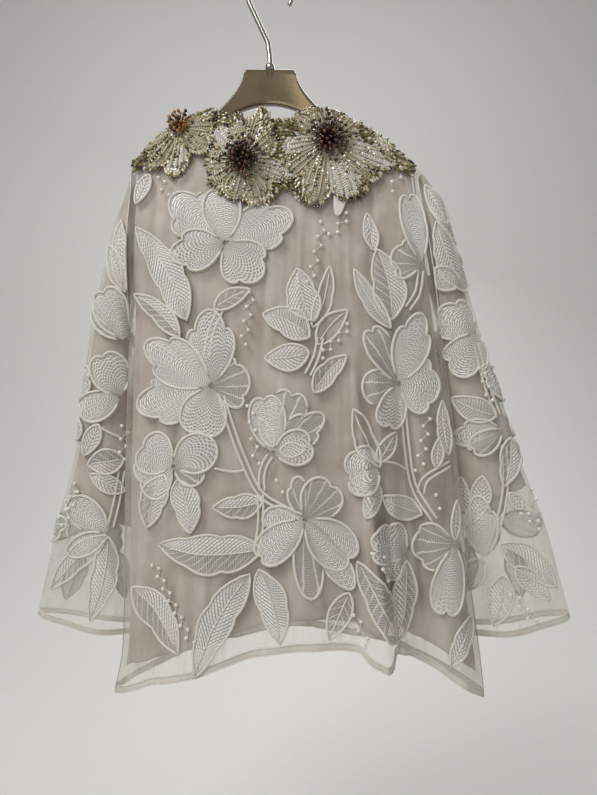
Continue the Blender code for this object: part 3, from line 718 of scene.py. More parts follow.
def tube(
    bm: BMesh, route: Sequence[Vector], radius: float, sides: int,
    closed: bool = False, tip: float = 0.0,
) -> list:
    """Add a round cord along a route, with a UV map in millimetres.

    Args:
        bm: Mesh to add to.
        route: Points of its middle line in millimetres.
        radius: Half its width.
        sides: Faces round it.
        closed: Whether the cord's end meets its start.
        tip: Length over which both ends are rounded.

    Returns:
        The new faces.
    """
    count = len(route) - 1
    ways, lengths = [], [0.0]
    for k in range(count + 1):
        before, after = route[max(k - 1, 0)], route[min(k + 1, count)]
        if closed and k in (0, count):
            before, after = route[count - 1], route[1]
        way = after - before
        ways.append(way.normalized() if way.length > 1e-9 else Vector((0, 0, 1)))
        if k:
            lengths.append(lengths[-1] + (route[k] - route[k - 1]).length)
    up = Vector((0.13, -0.97, 0.21))
    total = lengths[-1]
    frames = []
    for way in ways:
        aside = way.cross(up)
        aside = aside.normalized() if aside.length > 1e-6 else Vector((1, 0, 0))
        frames.append((aside, aside.cross(way)))

    def at(across: float, down: float) -> tuple:
        """Point and UV of the cord at shares round and along it."""
        k = round(down * count)
        turn = 2 * pi * across
        size = radius
        if not closed:
            near = min(lengths[k], total - lengths[k])
            short = 1 - min(near / tip, 1.0) if tip else float(near < 1e-6)
            size = radius * sqrt(max(1 - short * short, 0.0))
        aside, outward = frames[k]
        point = route[k] + (aside * cos(turn) + outward * sin(turn)) * size
        return point, (across * 2 * pi * radius, lengths[k])

    return sheet_grid(bm, sides, count, at, closed=True)


def dot(
    bm: BMesh, place: Vector, radius: float, fine: int, slot: int = 0,
    way: Vector | None = None, stretch: float = 1.0,
) -> None:
    """Add a small bead, round or drawn out along a direction.

    Args:
        bm: Mesh to add to.
        place: Its middle in millimetres.
        radius: Half its width.
        fine: How finely it is faceted.
        slot: Its material slot.
        way: Direction it is drawn out along.
        stretch: Its length against its width.
    """
    spot = Matrix.Translation(place * MM)
    if way is not None and way.length > 1e-6:
        spot = spot @ way.to_track_quat("Z", "Y").to_matrix().to_4x4()
        spot = spot @ Matrix.Diagonal((1, 1, stretch, 1))
    made = bmesh.ops.create_icosphere(
        bm, subdivisions=fine, radius=radius * MM, matrix=spot
    )
    for face in {face for vert in made["verts"] for face in vert.link_faces}:
        face.material_index = slot
        face.smooth = fine > 1


def smooth_line(marks: Sequence[tuple], steps: int) -> list:
    """Places along a smooth line through a few marks.

    Args:
        marks: Pairs of x and z.
        steps: Pieces between each two marks.

    Returns:
        Pairs of x and z.
    """
    found = []
    last = len(marks) - 1
    for k in range(last):
        a, b = marks[max(k - 1, 0)], marks[k]
        c, d = marks[k + 1], marks[min(k + 2, last)]
        for step in range(steps):
            t = step / steps
            place = []
            for n in (0, 1):
                curve = 2 * b[n] + (c[n] - a[n]) * t
                curve += (2 * a[n] - 5 * b[n] + 4 * c[n] - d[n]) * t * t
                curve += (3 * b[n] - a[n] - 3 * c[n] + d[n]) * t ** 3
                place.append(curve / 2)
            found.append(tuple(place))
    found.append(tuple(marks[last]))
    return found


def within(x: float, z: float, outline: Sequence[tuple]) -> bool:
    """Whether a place lies inside a closed outline."""
    odd = False
    for (x0, z0), (x1, z1) in zip(outline, [*outline[1:], outline[0]]):
        if (z0 > z) != (z1 > z) and x < x0 + (x1 - x0) * (z - z0) / (z1 - z0):
            odd = not odd
    return odd


def to_mesh(
    name: str, bm: BMesh, finishes: Sequence[Material] = (), smooth: bool = False
) -> Mesh:
    """Mesh data of a worked mesh, which is used up."""
    mesh = bpy.data.meshes.new(name)
    for face in bm.faces if smooth else ():
        face.smooth = True
    bm.to_mesh(mesh)
    bm.free()
    for finish in finishes:
        mesh.materials.append(finish)
    return mesh


def set_out(name: str, data: object) -> Object:
    """New object in the scene that shows mesh, light or camera data."""
    made = bpy.data.objects.new(name, data)
    bpy.context.scene.collection.objects.link(made)
    return made


def add_piece(
    name: str, bm: BMesh, finishes: Sequence[Material],
    slot: str, smooth: bool = True, replaces: Sequence[str] = (),
) -> Object:
    """Turn a mesh into a piece that rides on the blouse.

    Args:
        name: The piece's name.
        bm: Its mesh, used up.
        finishes: Its materials in slot order.
        slot: Not used.
        smooth: Whether all its faces are smooth.
        replaces: Solids it stands for.

    Returns:
        The new object.
    """
    made = set_out(name, to_mesh(name, bm, finishes, smooth))
    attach(made, "root")
    if replaces:
        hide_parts(*replaces)
    LOG.info("%s: %d faces", name, len(made.data.polygons))
    return made


def thicken(piece: Object, thickness: float) -> None:
    """Give a shell its wall with a live modifier.

    Args:
        piece: The shell, with its faces outwards.
        thickness: Millimetres inwards.
    """
    wall = piece.modifiers.new("wall", "SOLIDIFY")
    wall.thickness = thickness * MM
    wall.offset = -1.0
    wall.use_even_offset = False


def seal(bm: BMesh, dist: float = 0.0) -> None:
    """Merge a closed mesh's doubles, where asked, and turn its faces outwards."""
    if dist:
        bmesh.ops.remove_doubles(bm, verts=bm.verts, dist=dist)
    bmesh.ops.recalc_face_normals(bm, faces=bm.faces)


def face_outwards(bm: BMesh, outward: Callable) -> None:
    """Turn an open shell so that its faces look away from the body.

    Args:
        bm: The shell.
        outward: Outward direction at a face's middle.
    """
    bm.normal_update()
    score = 0.0
    for face in bm.faces:
        way = outward(face.calc_center_median())
        score += face.normal.dot(way) * face.calc_area()
    if score < 0:
        bmesh.ops.reverse_faces(bm, faces=bm.faces)


def away(side: Side) -> Callable:
    """Outward direction of one side of the body, the same all over it."""
    return lambda _: Vector((0, side.value, 0))


# Finishes


class Graph:
    """A short hand for laying out the nodes of one material."""

    def __init__(self, name: str) -> None:
        """Start a material with one shader and its output."""
        self.made = bpy.data.materials.new(name)
        self.made.use_nodes = True
        self.tree = self.made.node_tree
        self.shader = self.tree.nodes["Principled BSDF"]

    def add(self, kind: str, inputs: dict | None = None, **settings) -> Node:
        """Add a node.

        Args:
            kind: Blender's name of the node.
            inputs: Values or sockets for its inputs.
            **settings: Values of its properties.

        Returns:
            The node.
        """
        node = self.tree.nodes.new(kind)
        for key, value in settings.items():
            setattr(node, key, value)
        for key, value in (inputs or {}).items():
            self.join(node.inputs[key], value)
        return node

    def join(self, socket: NodeSocket, value: object) -> None:
        """Link a socket, or set its value."""
        if isinstance(value, NodeSocket):
            self.tree.links.new(value, socket)
        else:
            socket.default_value = value

    def math(
        self, operation: str, a: object, b: object = 0.0, c: object = 0.0
    ) -> NodeSocket:
        """Result of a sum on one to three values."""
        node = self.add("ShaderNodeMath", operation=operation)
        for socket, value in zip(node.inputs, (a, b, c)):
            self.join(socket, value)
        return node.outputs[0]

    def mix(self, share: object, low: object, high: object) -> NodeSocket:
        """Colour between two colours."""
        node = self.add("ShaderNodeMix", data_type="RGBA")
        self.join(node.inputs[0], share)
        self.join(node.inputs[6], (*low, 1.0) if isinstance(low, tuple) else low)
        self.join(node.inputs[7], (*high, 1.0) if isinstance(high, tuple) else high)
        return node.outputs[2]

    def ramp(
        self, value: object, low: float, high: float, a: float = 0.0, b: float = 1.0
    ) -> NodeSocket:
        """Smooth step of a value from a to b."""
        node = self.add("ShaderNodeMapRange", interpolation_type="SMOOTHSTEP")
        for key, given in zip(range(5), (value, low, high, a, b)):
            self.join(node.inputs[key], given)
        return node.outputs[0]

    def places(self) -> NodeSocket:
        """Object coordinates."""
        return self.add("ShaderNodeTexCoord").outputs["Object"]

    def uv(self) -> tuple:
        """The two parts of the piece's own UV map."""
        split = self.add("ShaderNodeSeparateXYZ")
        self.join(split.inputs[0], self.add("ShaderNodeTexCoord").outputs["UV"])
        return split.outputs[0], split.outputs[1]

    def noise(self, scale: float, detail: float = 2.0, at: object = None) -> NodeSocket:
        """Noise in the range from 0 to 1."""
        given = {"Vector": at or self.places(), "Scale": scale, "Detail": detail}
        return self.add("ShaderNodeTexNoise", given).outputs["Fac"]

    def ridge(self, value: object, period: float) -> NodeSocket:
        """Rounded ridges, 0 to 1, that repeat along a value."""
        part = self.math("FRACT", self.math("DIVIDE", value, period))
        off = self.math("ABSOLUTE", self.math("SUBTRACT", part, 0.5))
        return self.math("SUBTRACT", 1.0, self.math("MULTIPLY", off, 2.0))

    def relief(self, height: object, strength: float, distance: float) -> None:
        """Bump the shader's surface by a height."""
        given = {"Strength": strength, "Distance": distance * MM, "Height": height}
        self.set(Normal=self.add("ShaderNodeBump", given).outputs[0])

    def set(self, **values: object) -> None:
        """Set or link the shader's inputs, with _ for a blank in a name."""
        for key, value in values.items():
            self.join(self.shader.inputs[key.replace("_", " ")], value)


@dataclass(frozen=True)
class Finish:
    """A named material, laid out by its own kind."""

    name: str

    def make(self) -> Material:
        """Build the material."""
        g = Graph(self.name)
        self.lay(g)
        return g.made

    def lay(self, g: Graph) -> None:
        """Lay out the nodes of this kind."""
        raise NotImplementedError


@dataclass(frozen=True)
class Organza(Finish):
    """Sheer crisp cloth."""

    colour: tuple = (0.88, 0.84, 0.77)
    shade: tuple = (0.74, 0.69, 0.60)
    thin: float = 0.1
    dense: float = 0.19
    # How much the painted sheen streaks add to the cloth's cover
    streak: float = 0.16

    def lay(self, g: Graph) -> None:
        """Lay out the nodes."""
        u, v = g.uv()
        weave = g.math("MULTIPLY", g.ridge(u, 0.55), g.ridge(v, 0.55))
        slub = g.noise(900, 3)
        cloud = g.noise(22, 2)
        drawn = g.add("ShaderNodeMapping", {"Vector": g.places(), "Scale": (1.0, 1.0, 0.07)})
        # Painted sheen: random vertical streaks of denser, lighter cloth stand for the light
        # caught along the folds
        streak = g.ramp(g.noise(62, 2, drawn.outputs[0]), 0.45, 0.75, 0.0, self.streak)
        cover = g.math("ADD", g.ramp(cloud, 0.3, 0.7, self.thin, self.dense), streak)
        cover = g.math("ADD", cover, g.math("MULTIPLY", weave, 0.03))
        tone = g.mix(g.ramp(cloud, 0.35, 0.65), self.shade, self.colour)
        g.set(Base_Color=tone, Alpha=cover, Roughness=0.5)
        g.set(Sheen_Weight=0.35, Sheen_Roughness=0.4, Specular_IOR_Level=0.35)
        g.relief(g.math("ADD", weave, g.math("MULTIPLY", slub, 0.4)), 0.25, 0.1)


@dataclass(frozen=True)
class Lining(Finish):
    """Soft matte lining cloth."""

    colour: tuple = (0.60, 0.52, 0.455)
    shade: tuple = (0.50, 0.42, 0.36)

    def lay(self, g: Graph) -> None:
        """Lay out the nodes."""
        u, v = g.uv()
        weave = g.math("ADD", g.ridge(u, 0.7), g.ridge(v, 0.7))
        cloud = g.noise(14, 2)
        fine = g.noise(420, 3)
        tone = g.mix(g.ramp(cloud, 0.3, 0.7), self.shade, self.colour)
        tone = g.mix(g.math("MULTIPLY", fine, 0.16), tone, (0.7, 0.64, 0.58))
        g.set(Base_Color=tone, Roughness=g.ramp(fine, 0.2, 0.8, 0.58, 0.72))
        g.set(Sheen_Weight=0.2, Sheen_Roughness=0.5)
        g.relief(weave, 0.2, 0.12)


@dataclass(frozen=True)
class Stitches(Finish):
    """Embroidery thread laid in one of the ways of a fill."""

    fill: Fill
    # The thread tops' bright colour is a painted highlight; the dark groove colour is partly the
    # backing seen through the gaps and partly painted shade
    ridge: tuple = (0.97, 0.945, 0.90)
    valley_gap_and_shade: tuple = (0.53, 0.485, 0.435)
    period: float = 3.0

    def lay(self, g: Graph) -> None:
        """Lay out the nodes."""
        u, v = g.uv()
        drift = g.math("MULTIPLY", g.math("SUBTRACT", g.noise(160, 2), 0.5), 2.2)
        wavy = g.math("ADD", u, drift)
        if self.fill is Fill.SATIN:
            height, cover = self.satin(g, wavy, v)
        elif self.fill is Fill.LATTICE:
            height, cover = self.lattice(g, wavy, v)
        else:
            height, cover = self.veins(g, wavy, v)
        # Painted highlight and shade: the stitch height lightens the thread tops and darkens the
        # grooves between them, on top of the bump from the same height
        tone = g.mix(height, self.valley_gap_and_shade, self.ridge)
        cloud = g.ramp(g.noise(26, 1), 0.42, 0.66, 0.0, 0.3)
        tone = g.mix(cloud, tone, (0.66, 0.60, 0.585))
        # Painted shade: each petal and leaf darkens towards its foot, where the petals meet and
        # sink at the flower's heart
        tone = g.mix(g.ramp(v, 2.0, 22.0, 0.25, 0.0), tone, (0.46, 0.405, 0.34))
        g.set(Base_Color=tone, Alpha=cover, Roughness=0.34)
        g.set(Sheen_Weight=0.25, Sheen_Roughness=0.35, Specular_IOR_Level=0.55)
        g.relief(height, 0.8, 0.5)

    def satin(self, g: Graph, u: object, v: object) -> tuple:
        """Close rows of short stitches, staggered from row to row."""
        tilted = g.math("MULTIPLY_ADD", u, 0.22, v)
        rows = g.ramp(g.ridge(tilted, self.period), 0.0, 0.55)
        row = g.math("FLOOR", g.math("DIVIDE", tilted, self.period))
        shift = g.math("MULTIPLY", row, self.period * 0.83)
        ends = g.ridge(g.math("ADD", u, shift), self.period * 1.75)
        height = g.math("MULTIPLY", rows, g.ramp(ends, 0.0, 0.4, 0.5, 1.0))
        return height, g.math("MULTIPLY_ADD", height, 0.36, 0.6)

    def lattice(self, g: Graph, u: object, v: object) -> tuple:
        """Crossed threads with small openings between them."""
        a = g.ridge(g.math("ADD", u, g.math("MULTIPLY", v, 0.55)), self.period)
        b = g.ridge(g.math("SUBTRACT", u, g.math("MULTIPLY", v, 0.8)), self.period * 1.2)
        lines = g.math("MAXIMUM", g.ramp(a, 0.25, 0.75), g.ramp(b, 0.35, 0.8))
        return lines, g.math("MULTIPLY_ADD", lines, 0.42, 0.4)

    def veins(self, g: Graph, u: object, v: object) -> tuple:
        """Sparse veins over a fine sheer ground."""
        vein = g.ramp(g.ridge(u, self.period * 2.6), 0.7, 0.95)
        fine = g.ramp(g.ridge(g.math("ADD", u, v), self.period), 0.2, 0.8, 0.0, 0.6)
        lines = g.math("MAXIMUM", vein, fine)
        return lines, g.math("MULTIPLY_ADD", lines, 0.4, 0.32)


@dataclass(frozen=True)
class Cord(Finish):
    """Twisted edging cord and stem stitch."""

    colour: tuple = (0.95, 0.91, 0.83)
    shade: tuple = (0.69, 0.64, 0.55)
    twist: float = 2.4

    def lay(self, g: Graph) -> None:
        """Lay out the nodes."""
        u, v = g.uv()
        strand = g.ramp(g.ridge(g.math("ADD", u, v), self.twist), 0.05, 0.7)
        tone = g.mix(strand, self.shade, self.colour)
        g.set(Base_Color=tone, Roughness=g.ramp(g.noise(300, 2), 0.2, 0.8, 0.4, 0.55))
        g.set(Sheen_Weight=0.3, Sheen_Roughness=0.4)
        g.relief(strand, 0.7, 0.3)


@dataclass(frozen=True)
class Bead(Finish):
    """A small glossy bead of pearl, glass or metal."""

    colour: tuple
    shade: tuple
    metallic: float = 0.0
    roughness: float = 0.15
    clear: float = 0.0

    def lay(self, g: Graph) -> None:
        """Lay out the nodes."""
        tone = g.mix(g.ramp(g.noise(230, 1), 0.35, 0.65), self.shade, self.colour)
        rough = g.ramp(g.noise(700, 2), 0.3, 0.7, self.roughness, self.roughness + 0.12)
        g.set(Base_Color=tone, Roughness=rough, Metallic=self.metallic)
        g.set(Coat_Weight=0.6, Coat_Roughness=0.06, Transmission_Weight=self.clear)
        g.relief(g.noise(1500, 2), 0.15, 0.1)


@dataclass(frozen=True)
class Acrylic(Finish):
    """Smoky see-through hanger plastic."""

    colour: tuple = (0.27, 0.205, 0.125)

    def lay(self, g: Graph) -> None:
        """Lay out the nodes."""
        haze = g.noise(30, 3)
        tone = g.mix(g.ramp(haze, 0.3, 0.7), self.colour, (0.21, 0.155, 0.09))
        g.set(Base_Color=tone, Roughness=g.ramp(haze, 0.2, 0.8, 0.09, 0.16))
        g.set(Transmission_Weight=0.5, IOR=1.49, Coat_Weight=0.3, Coat_Roughness=0.05)
        g.relief(g.noise(120, 2), 0.05, 0.2)


@dataclass(frozen=True)
class Steel(Finish):
    """Drawn steel wire with a warm polish."""

    colour: tuple = (0.52, 0.47, 0.43)

    def lay(self, g: Graph) -> None:
        """Lay out the nodes."""
        streak = g.noise(900, 2)
        tone = g.mix(g.ramp(streak, 0.3, 0.7), self.colour, (0.40, 0.36, 0.325))
        g.set(Base_Color=tone, Metallic=1.0)
        g.set(Roughness=g.ramp(streak, 0.2, 0.8, 0.2, 0.34))
        g.relief(streak, 0.08, 0.05)


@dataclass(frozen=True)
class Plaster(Finish):
    """Plain pale studio surface."""

    colour: tuple = (0.80, 0.79, 0.765)

    def lay(self, g: Graph) -> None:
        """Lay out the nodes."""
        grain = g.noise(60, 4)
        g.set(Base_Color=g.mix(grain, self.colour, (0.76, 0.75, 0.725)), Roughness=0.9)
        g.relief(grain, 0.15, 1.0)


# Stitching


def padding(dome: float, ray: float, t: float) -> float:
    """How far a petal is padded out at a ray and a share of its length."""
    return dome * sin(pi * t * 0.93) * cos(ray * 1.3)


class Batch:
    """Small meshes gathered into one, a motif at a time."""

    def __init__(self) -> None:
        """Start empty."""
        self.whole = bmesh.new()

    def take(self, part: BMesh) -> None:
        """Move a small mesh into the whole one.

        Args:
            part: The small mesh, used up.
        """
        bmesh.ops.remove_doubles(part, verts=part.verts, dist=SNAP)
        mesh = to_mesh("motif", part)
        self.whole.from_mesh(mesh)
        bpy.data.meshes.remove(mesh)


class Needle:
    """Lays petals, leaves, stems and pearls on one cloth face."""

    levels, level_step = 7, 0.17
    edging, stem_cord, rib_cord, thread, pearl = 1.75, 1.6, 0.95, 0.65, 2.35

    def __init__(self, place: Callable, ground: float = 0.8, notch: float = 0.15) -> None:
        """Start the work on a face.

        Args:
            place: Function from x, z and a lift to a point.
            ground: Lift of the lowest stitches.
            notch: Depth of a rim's cuts between its rounds.
        """
        self.place, self.ground, self.notch = place, ground, notch
        self.fills = {fill: Batch() for fill in Fill}
        self.cords, self.pearls = Batch(), Batch()
        self.count = 0

    def level(self, step: int = 1) -> float:
        """Lift of the next motif, or of the last one again where step is 0."""
        self.count += step
        return self.ground + self.level_step * (self.count % self.levels)

    def patch(self, fill: Fill, columns: int, rows: int, at: Callable, spot: tuple) -> None:
        """Add one stitched patch that faces outwards.

        Args:
            fill: How it is stitched.
            columns: Cells across.
            rows: Cells down.
            at: Function from shares across and down to a point and a UV.
            spot: Place whose outward direction is used.
        """
        bm = bmesh.new()
        sheet_grid(bm, columns, rows, at)
        way = self.place(*spot, 4.0) - self.place(*spot, 0.0)
        face_outwards(bm, lambda _: way)
        self.fills[fill].take(bm)

    def cord(self, route: Sequence[Vector], radius: float, closed: bool = False) -> None:
        """Add a cord along points of the cloth."""
        bm = bmesh.new()
        tube(bm, route, radius, 5, closed)
        self.cords.take(bm)

    @staticmethod
    def turned(x: float, z: float, angle: float, aside: float, ahead: float) -> tuple:
        """Place in x and z of a point of a motif laid at an angle."""
        turn = radians(angle)
        c, s = cos(turn), sin(turn)
        return x + ahead * c - aside * s, z + ahead * s + aside * c

    def petal_shape(self, row: tuple, u: float, t: float) -> tuple:
        """Place aside and ahead of a petal's foot, from its rim's share and reach."""
        _, length, half, lobes = row[:4]
        round_it = u * radians(138)
        scallop = abs(sin(lobes * pi * (u + 1) / 2)) ** 0.7
        reach = 1 - self.notch * (1 - scallop) * t * (lobes > 1)
        ahead = length * (0.56 + 0.44 * cos(round_it))
        return half * sin(round_it) * reach * t ** 0.86, ahead * reach * t

    def petal_rim(self, x: float, z: float, row: tuple) -> list:
        """Places along a petal's edge, from foot to foot."""
        wide = 6 * max(row[3], 2)
        marks = [(-1, 1 / 3), (-1, 2 / 3)]
        marks += [(u / wide, 1) for u in range(-wide, wide + 1)]
        marks += [(1, 2 / 3), (1, 1 / 3)]
        return [self.turned(x, z, row[0], *self.petal_shape(row, *mark)) for mark in marks]

    def petal(
        self, x: float, z: float, row: tuple, over: Sequence[list] = (),
        cord: float = edging, dome: float = 1.0,
    ) -> list:
        """Lay a broad petal with a notched rim.

        Args:
            x: Its foot across.
            z: Height of its foot.
            row: Its angle, length, half width, rounds and fill.
            over: Rims of the petals that cover its edge.
            cord: Half the width of its edging cord.
            dome: How far its middle is padded out.

        Returns:
            The middle line of its edging.
        """
        angle, length, half, lobes, fill = (*row, Fill.SATIN)[:5]
        base = self.level()

        def at(across: float, down: float) -> tuple:
            """Point and UV of the petal."""
            u, t = 2 * across - 1, 1 - 0.95 * down
            spot = self.turned(x, z, angle, *self.petal_shape(row, u, t))
            return self.place(*spot, base + padding(dome, u, t)), (u * half, t * length)

        heart = self.turned(x, z, angle, 0, length * 0.6)
        self.patch(fill, 6 * max(lobes, 2), 12, at, heart)
        lift, run, route = base + cord * 0.35, [], []
        for spot in [*self.petal_rim(x, z, row), None]:
            if spot is None or any(within(*spot, rim) for rim in over):
                if len(run) > 1:
                    self.cord(run, cord)
                run = []
            else:
                run.append(self.place(*spot, lift))
                route.append(run[-1])
        return route

    def leaf(
        self, x: float, z: float, angle: float, length: float, half: float,
        bend: float = 0.0, left: Fill | None = Fill.SATIN,
        right: Fill | None = Fill.SATIN,
    ) -> None:
        """Lay a pointed leaf, each half in its own fill.

        Args:
            x: Its foot across.
            z: Height of its foot.
            angle: Degrees from +X.
            length: From its foot to its point.
            half: Half its width.
            bend: How far it bows to the left.
            left: Fill of its left half, or none.
            right: Fill of its right half, or none.
        """
        base = self.level()
        rounds = max(round(length / 38), 1)
        cut = 0.2 if rounds > 1 else 0.0

        def lay(u: float, t: float, lift: float) -> Vector:
            """Point at shares aside and along the leaf."""
            wide = half * sin(pi * min(t, 1) ** 0.85) ** 0.8
            wide *= 1 - cut * (1 - abs(sin(rounds * pi * t ** 1.15)) ** 0.6)
            aside = u * wide + bend * sin(pi * t)
            return self.place(*self.turned(x, z, angle, aside, t * length), lift)

        for sign, fill in ((1, left), (-1, right)):
            if fill is None:
                continue

            def at(across: float, down: float, sign: int = sign) -> tuple:
                """Point and UV of one half of the leaf."""
                t = 0.995 - 0.985 * down
                padded = 0.9 * sin(pi * across) * sin(pi * t)
                wide = half * across
                uv = (t * length * 0.8 - wide * 0.75, wide * 0.8 + t * length * 0.4)
                return lay(sign * across, t, base + padded), uv

            self.patch(fill, 6, 18, at, self.turned(x, z, angle, sign, length / 2))
        lift = base + 0.4
        route = [lay(1, t / 18, lift) for t in range(18)]
        route += [lay(-1, t / 18, lift) for t in range(18, -1, -1)]
        self.cord(route, self.stem_cord, closed=True)
        rib = [lay(0, 0.04 + 0.9 * t / 10, base + 0.3) for t in range(11)]
        self.cord(rib, self.rib_cord)

    def stem(self, marks: Sequence[tuple], gap: float) -> None:
        """Lay two lines of stem stitch, or one where the gap is nothing."""
        line = smooth_line(marks, 7)
        lift = self.level()
        for side in (-0.5, 0.5) if gap else (0,):
            route = []
            for k, (x, z) in enumerate(line):
                x0, z0 = line[max(k - 1, 0)]
                x1, z1 = line[min(k + 1, len(line) - 1)]
                length = hypot(x1 - x0, z1 - z0) or 1.0
                off = side * gap
                spot = x - (z1 - z0) / length * off, z + (x1 - x0) / length * off
                route.append(self.place(*spot, lift))
            self.cord(route, self.stem_cord)

    def sprig(self, x0: float, z0: float, x1: float, z1: float, pearls: int) -> None:
        """Sew pearls by turns on both sides of a fine thread, or one at its head."""
        length = hypot(x1 - x0, z1 - z0)
        aside = ((z0 - z1) / length * 3.2, (x1 - x0) / length * 3.2)
        marks = []
        bm = bmesh.new()
        for k in range(pearls):
            share, side = k / max(pearls - 1, 1), 1 if k % 2 else -1
            x, z = blend(x0, x1, share), blend(z0, z1, share)
            x, z = x + aside[0] * side, z + aside[1] * side
            dot(bm, self.place(x, z, self.ground + 1.8), self.pearl, 2)
            marks.append(self.place(x, z, self.ground + 0.3))
        if pearls == 1:
            marks.append(self.place(x1, z1, self.ground + 0.3))
        self.pearls.take(bm)
        self.cord(marks, self.thread)

    def bloom(self, x: float, z: float, petals: Sequence[tuple]) -> None:
        """Lay a flower's petals, each one's edge under the next ones."""
        rims = [self.petal_rim(x, z, row) for row in petals]
        for k, row in enumerate(petals):
            self.petal(x, z, row, rims[k + 1:])


SATIN, LATTICE, VEIN = Fill.SATIN, Fill.LATTICE, Fill.VEIN

# A flower is its foot and its petals: angle, length, half width, rounds, and
# a fill where it isn't satin
FRONT_BLOOMS = (
    (-50, -328, (
        (138, 84, 30, 3), (24, 84, 28, 3), (96, 70, 22, 2), (193, 64, 24, 3, LATTICE),
        (-47, 58, 28, 3, LATTICE))),
    (-65, -493, (
        (12, 44, 30, 3, VEIN), (92, 88, 28, 3, LATTICE), (195, 92, 30, 3), (147, 94, 27, 3),
        (255, 62, 27, 2, LATTICE))),
    (-109, -585, (
        (-15, 38, 16, 1, VEIN), (30, 56, 22, 1, LATTICE), (205, 52, 28, 2), (150, 50, 26, 2))),
    (6, -569, (
        (72, 80, 23, 2, VEIN), (38, 71, 19, 3, VEIN), (100, 71, 21, 2), (15, 48, 20, 2, LATTICE))),
    (41, -642, (
        (-55, 95, 15, 1), (-85, 88, 16, 1, VEIN), (100, 48, 14, 3, VEIN), (50, 54, 24, 2, VEIN),
        (-42, 78, 25, 2), (195, 50, 22, 2), (222, 74, 19, 2))),
    (177, -351, ((165, 37, 23, 3, VEIN), (100, 92, 15, 2))),
    (150, -490, (
        (190, 44, 20, 1, VEIN), (118, 78, 16, 2, VEIN), (255, 57, 18, 2, LATTICE), (-5, 49, 32, 3),
        (72, 87, 22, 3))),
    (126, -588, ((215, 40, 14, 1), (165, 40, 22, 3))),
    (215, -676, ((185, 49, 27, 3, VEIN), (262, 88, 19, 2))),
    (159, -689, ((205, 36, 17, 2, LATTICE), (140, 52, 23, 3, LATTICE))),
)
# A leaf is its foot, angle, length, half width, bend and fills, where it has them
FRONT_LEAVES = (
    (51, -419, 107, 63, 19, 4), (47, -437, 153, 60, 17, -5, SATIN, LATTICE),
    (46, -455, 187, 50, 15, 3), (50, -426, 74, 74, 10, -4, None, None),
    (56, -445, 49, 52, 12, 3, None, None), (51, -500, 48, 57, 12, 3, VEIN), (6, -562, 115, 36, 7),
    (14, -566, 5, 28, 8), (-6, -678, 179, 121, 23, 6, VEIN), (-21, -705, 242, 127, 19, -8),
    (-10, -700, -73, 83, 18, 4, LATTICE), (-160, -728, -49, 90, 21, 6, SATIN, VEIN),
    (91, -725, 245, 55, 13, 0, VEIN, VEIN), (-6, -624, 186, 57, 14, 3, VEIN),
    (-94, -417, 119, 124, 19, -7), (-102, -436, 137, 76, 12, -4, VEIN),
    (-62, -404, 28, 46, 10, 2, VEIN, VEIN), (-142, -243, 248, 39, 8),
    (-120, -596, 250, 66, 17, -4, SATIN, VEIN), (-104, -600, 285, 62, 17, 4),
    (122, -336, 102, 44, 8), (142, -416, 102, 83, 20, -5, VEIN),
    (140, -426, 122, 80, 10, 3, LATTICE, LATTICE), (126, -585, 113, 72, 12, 3, None, None),
    (124, -605, 249, 38, 9), (125, -579, 58, 39, 9, 0, VEIN, VEIN),
    (179, -642, 155, 56, 13, 3, LATTICE, LATTICE), (210, -573, 97, 64, 9, 2),
    (194, -587, 84, 33, 7), (215, -672, 84, 45, 6), (159, -695, 262, 95, 15, 4, VEIN),
    (101, -690, -66, 105, 14, 4, VEIN, VEIN), (237, -763, 241, 58, 12),
)
FRONT_STEMS = (
    ((-54, -403), (-66, -432), (-71, -462)),
    ((-54, -503), (-41, -543), (-27, -580), (-9, -614), (19, -631), (38, -640)),
    ((-62, -586), (-40, -590), (-27, -588)), ((59, -437), (54, -460), (44, -481)),
    ((3, -571), (-4, -583), (-7, -597), (-6, -612)), ((176, -357), (172, -384), (160, -403)),
    ((155, -504), (160, -556), (169, -608), (193, -650)), ((130, -578), (146, -582), (161, -591)),
    ((213, -583), (183, -599), (177, -618)), ((-9, -614), (-8, -650), (-14, -682)),
)
FRONT_SPRIGS = (
    (92, -295, 72, -320, 5), (63, -304, 47, -375, 9), (-19, -386, -29, -445, 8),
    (92, -424, 59, -459, 8), (-21, -515, -13, -581, 8), (184, -522, 175, -591, 9),
    (-132, -699, -84, -780, 14), (13, -599, 12, -630, 1), (20, -612, 19, -634, 1),
    (196, -619, 193, -646, 1), (200, -635, 196, -652, 1), (120, -676, 135, -710, 5),
    (99, -748, 112, -780, 5), (157, -236, 141, -264, 4), (-127, -247, -119, -272, 4),
)
BACK_BLOOMS = (
    (-70, -350, (
        (10, 62, 26, 3, VEIN), (82, 72, 27, 3), (150, 74, 25, 2, LATTICE), (222, 70, 28, 3),
        (300, 60, 24, 2))),
    (92, -380, (
        (54, 70, 27, 3), (128, 72, 26, 2), (200, 64, 26, 3, LATTICE), (270, 68, 22, 2),
        (340, 60, 24, 3, VEIN))),
    (-96, -560, (
        (90, 66, 27, 3, LATTICE), (165, 66, 26, 3), (235, 62, 22, 2, VEIN), (308, 66, 26, 3),
        (20, 58, 24, 2))),
    (24, -500, (
        (30, 52, 21, 2), (104, 56, 20, 3, VEIN), (176, 50, 20, 2), (250, 54, 19, 2, LATTICE),
        (318, 52, 20, 3))),
    (140, -590, (
        (70, 66, 25, 3), (142, 64, 24, 3, VEIN), (214, 62, 24, 2), (288, 66, 24, 3, LATTICE),
        (2, 60, 23, 2))),
    (10, -690, (
        (20, 62, 24, 3), (92, 60, 22, 2, LATTICE), (164, 62, 25, 3), (236, 58, 20, 2),
        (306, 60, 22, 2, VEIN))),
)
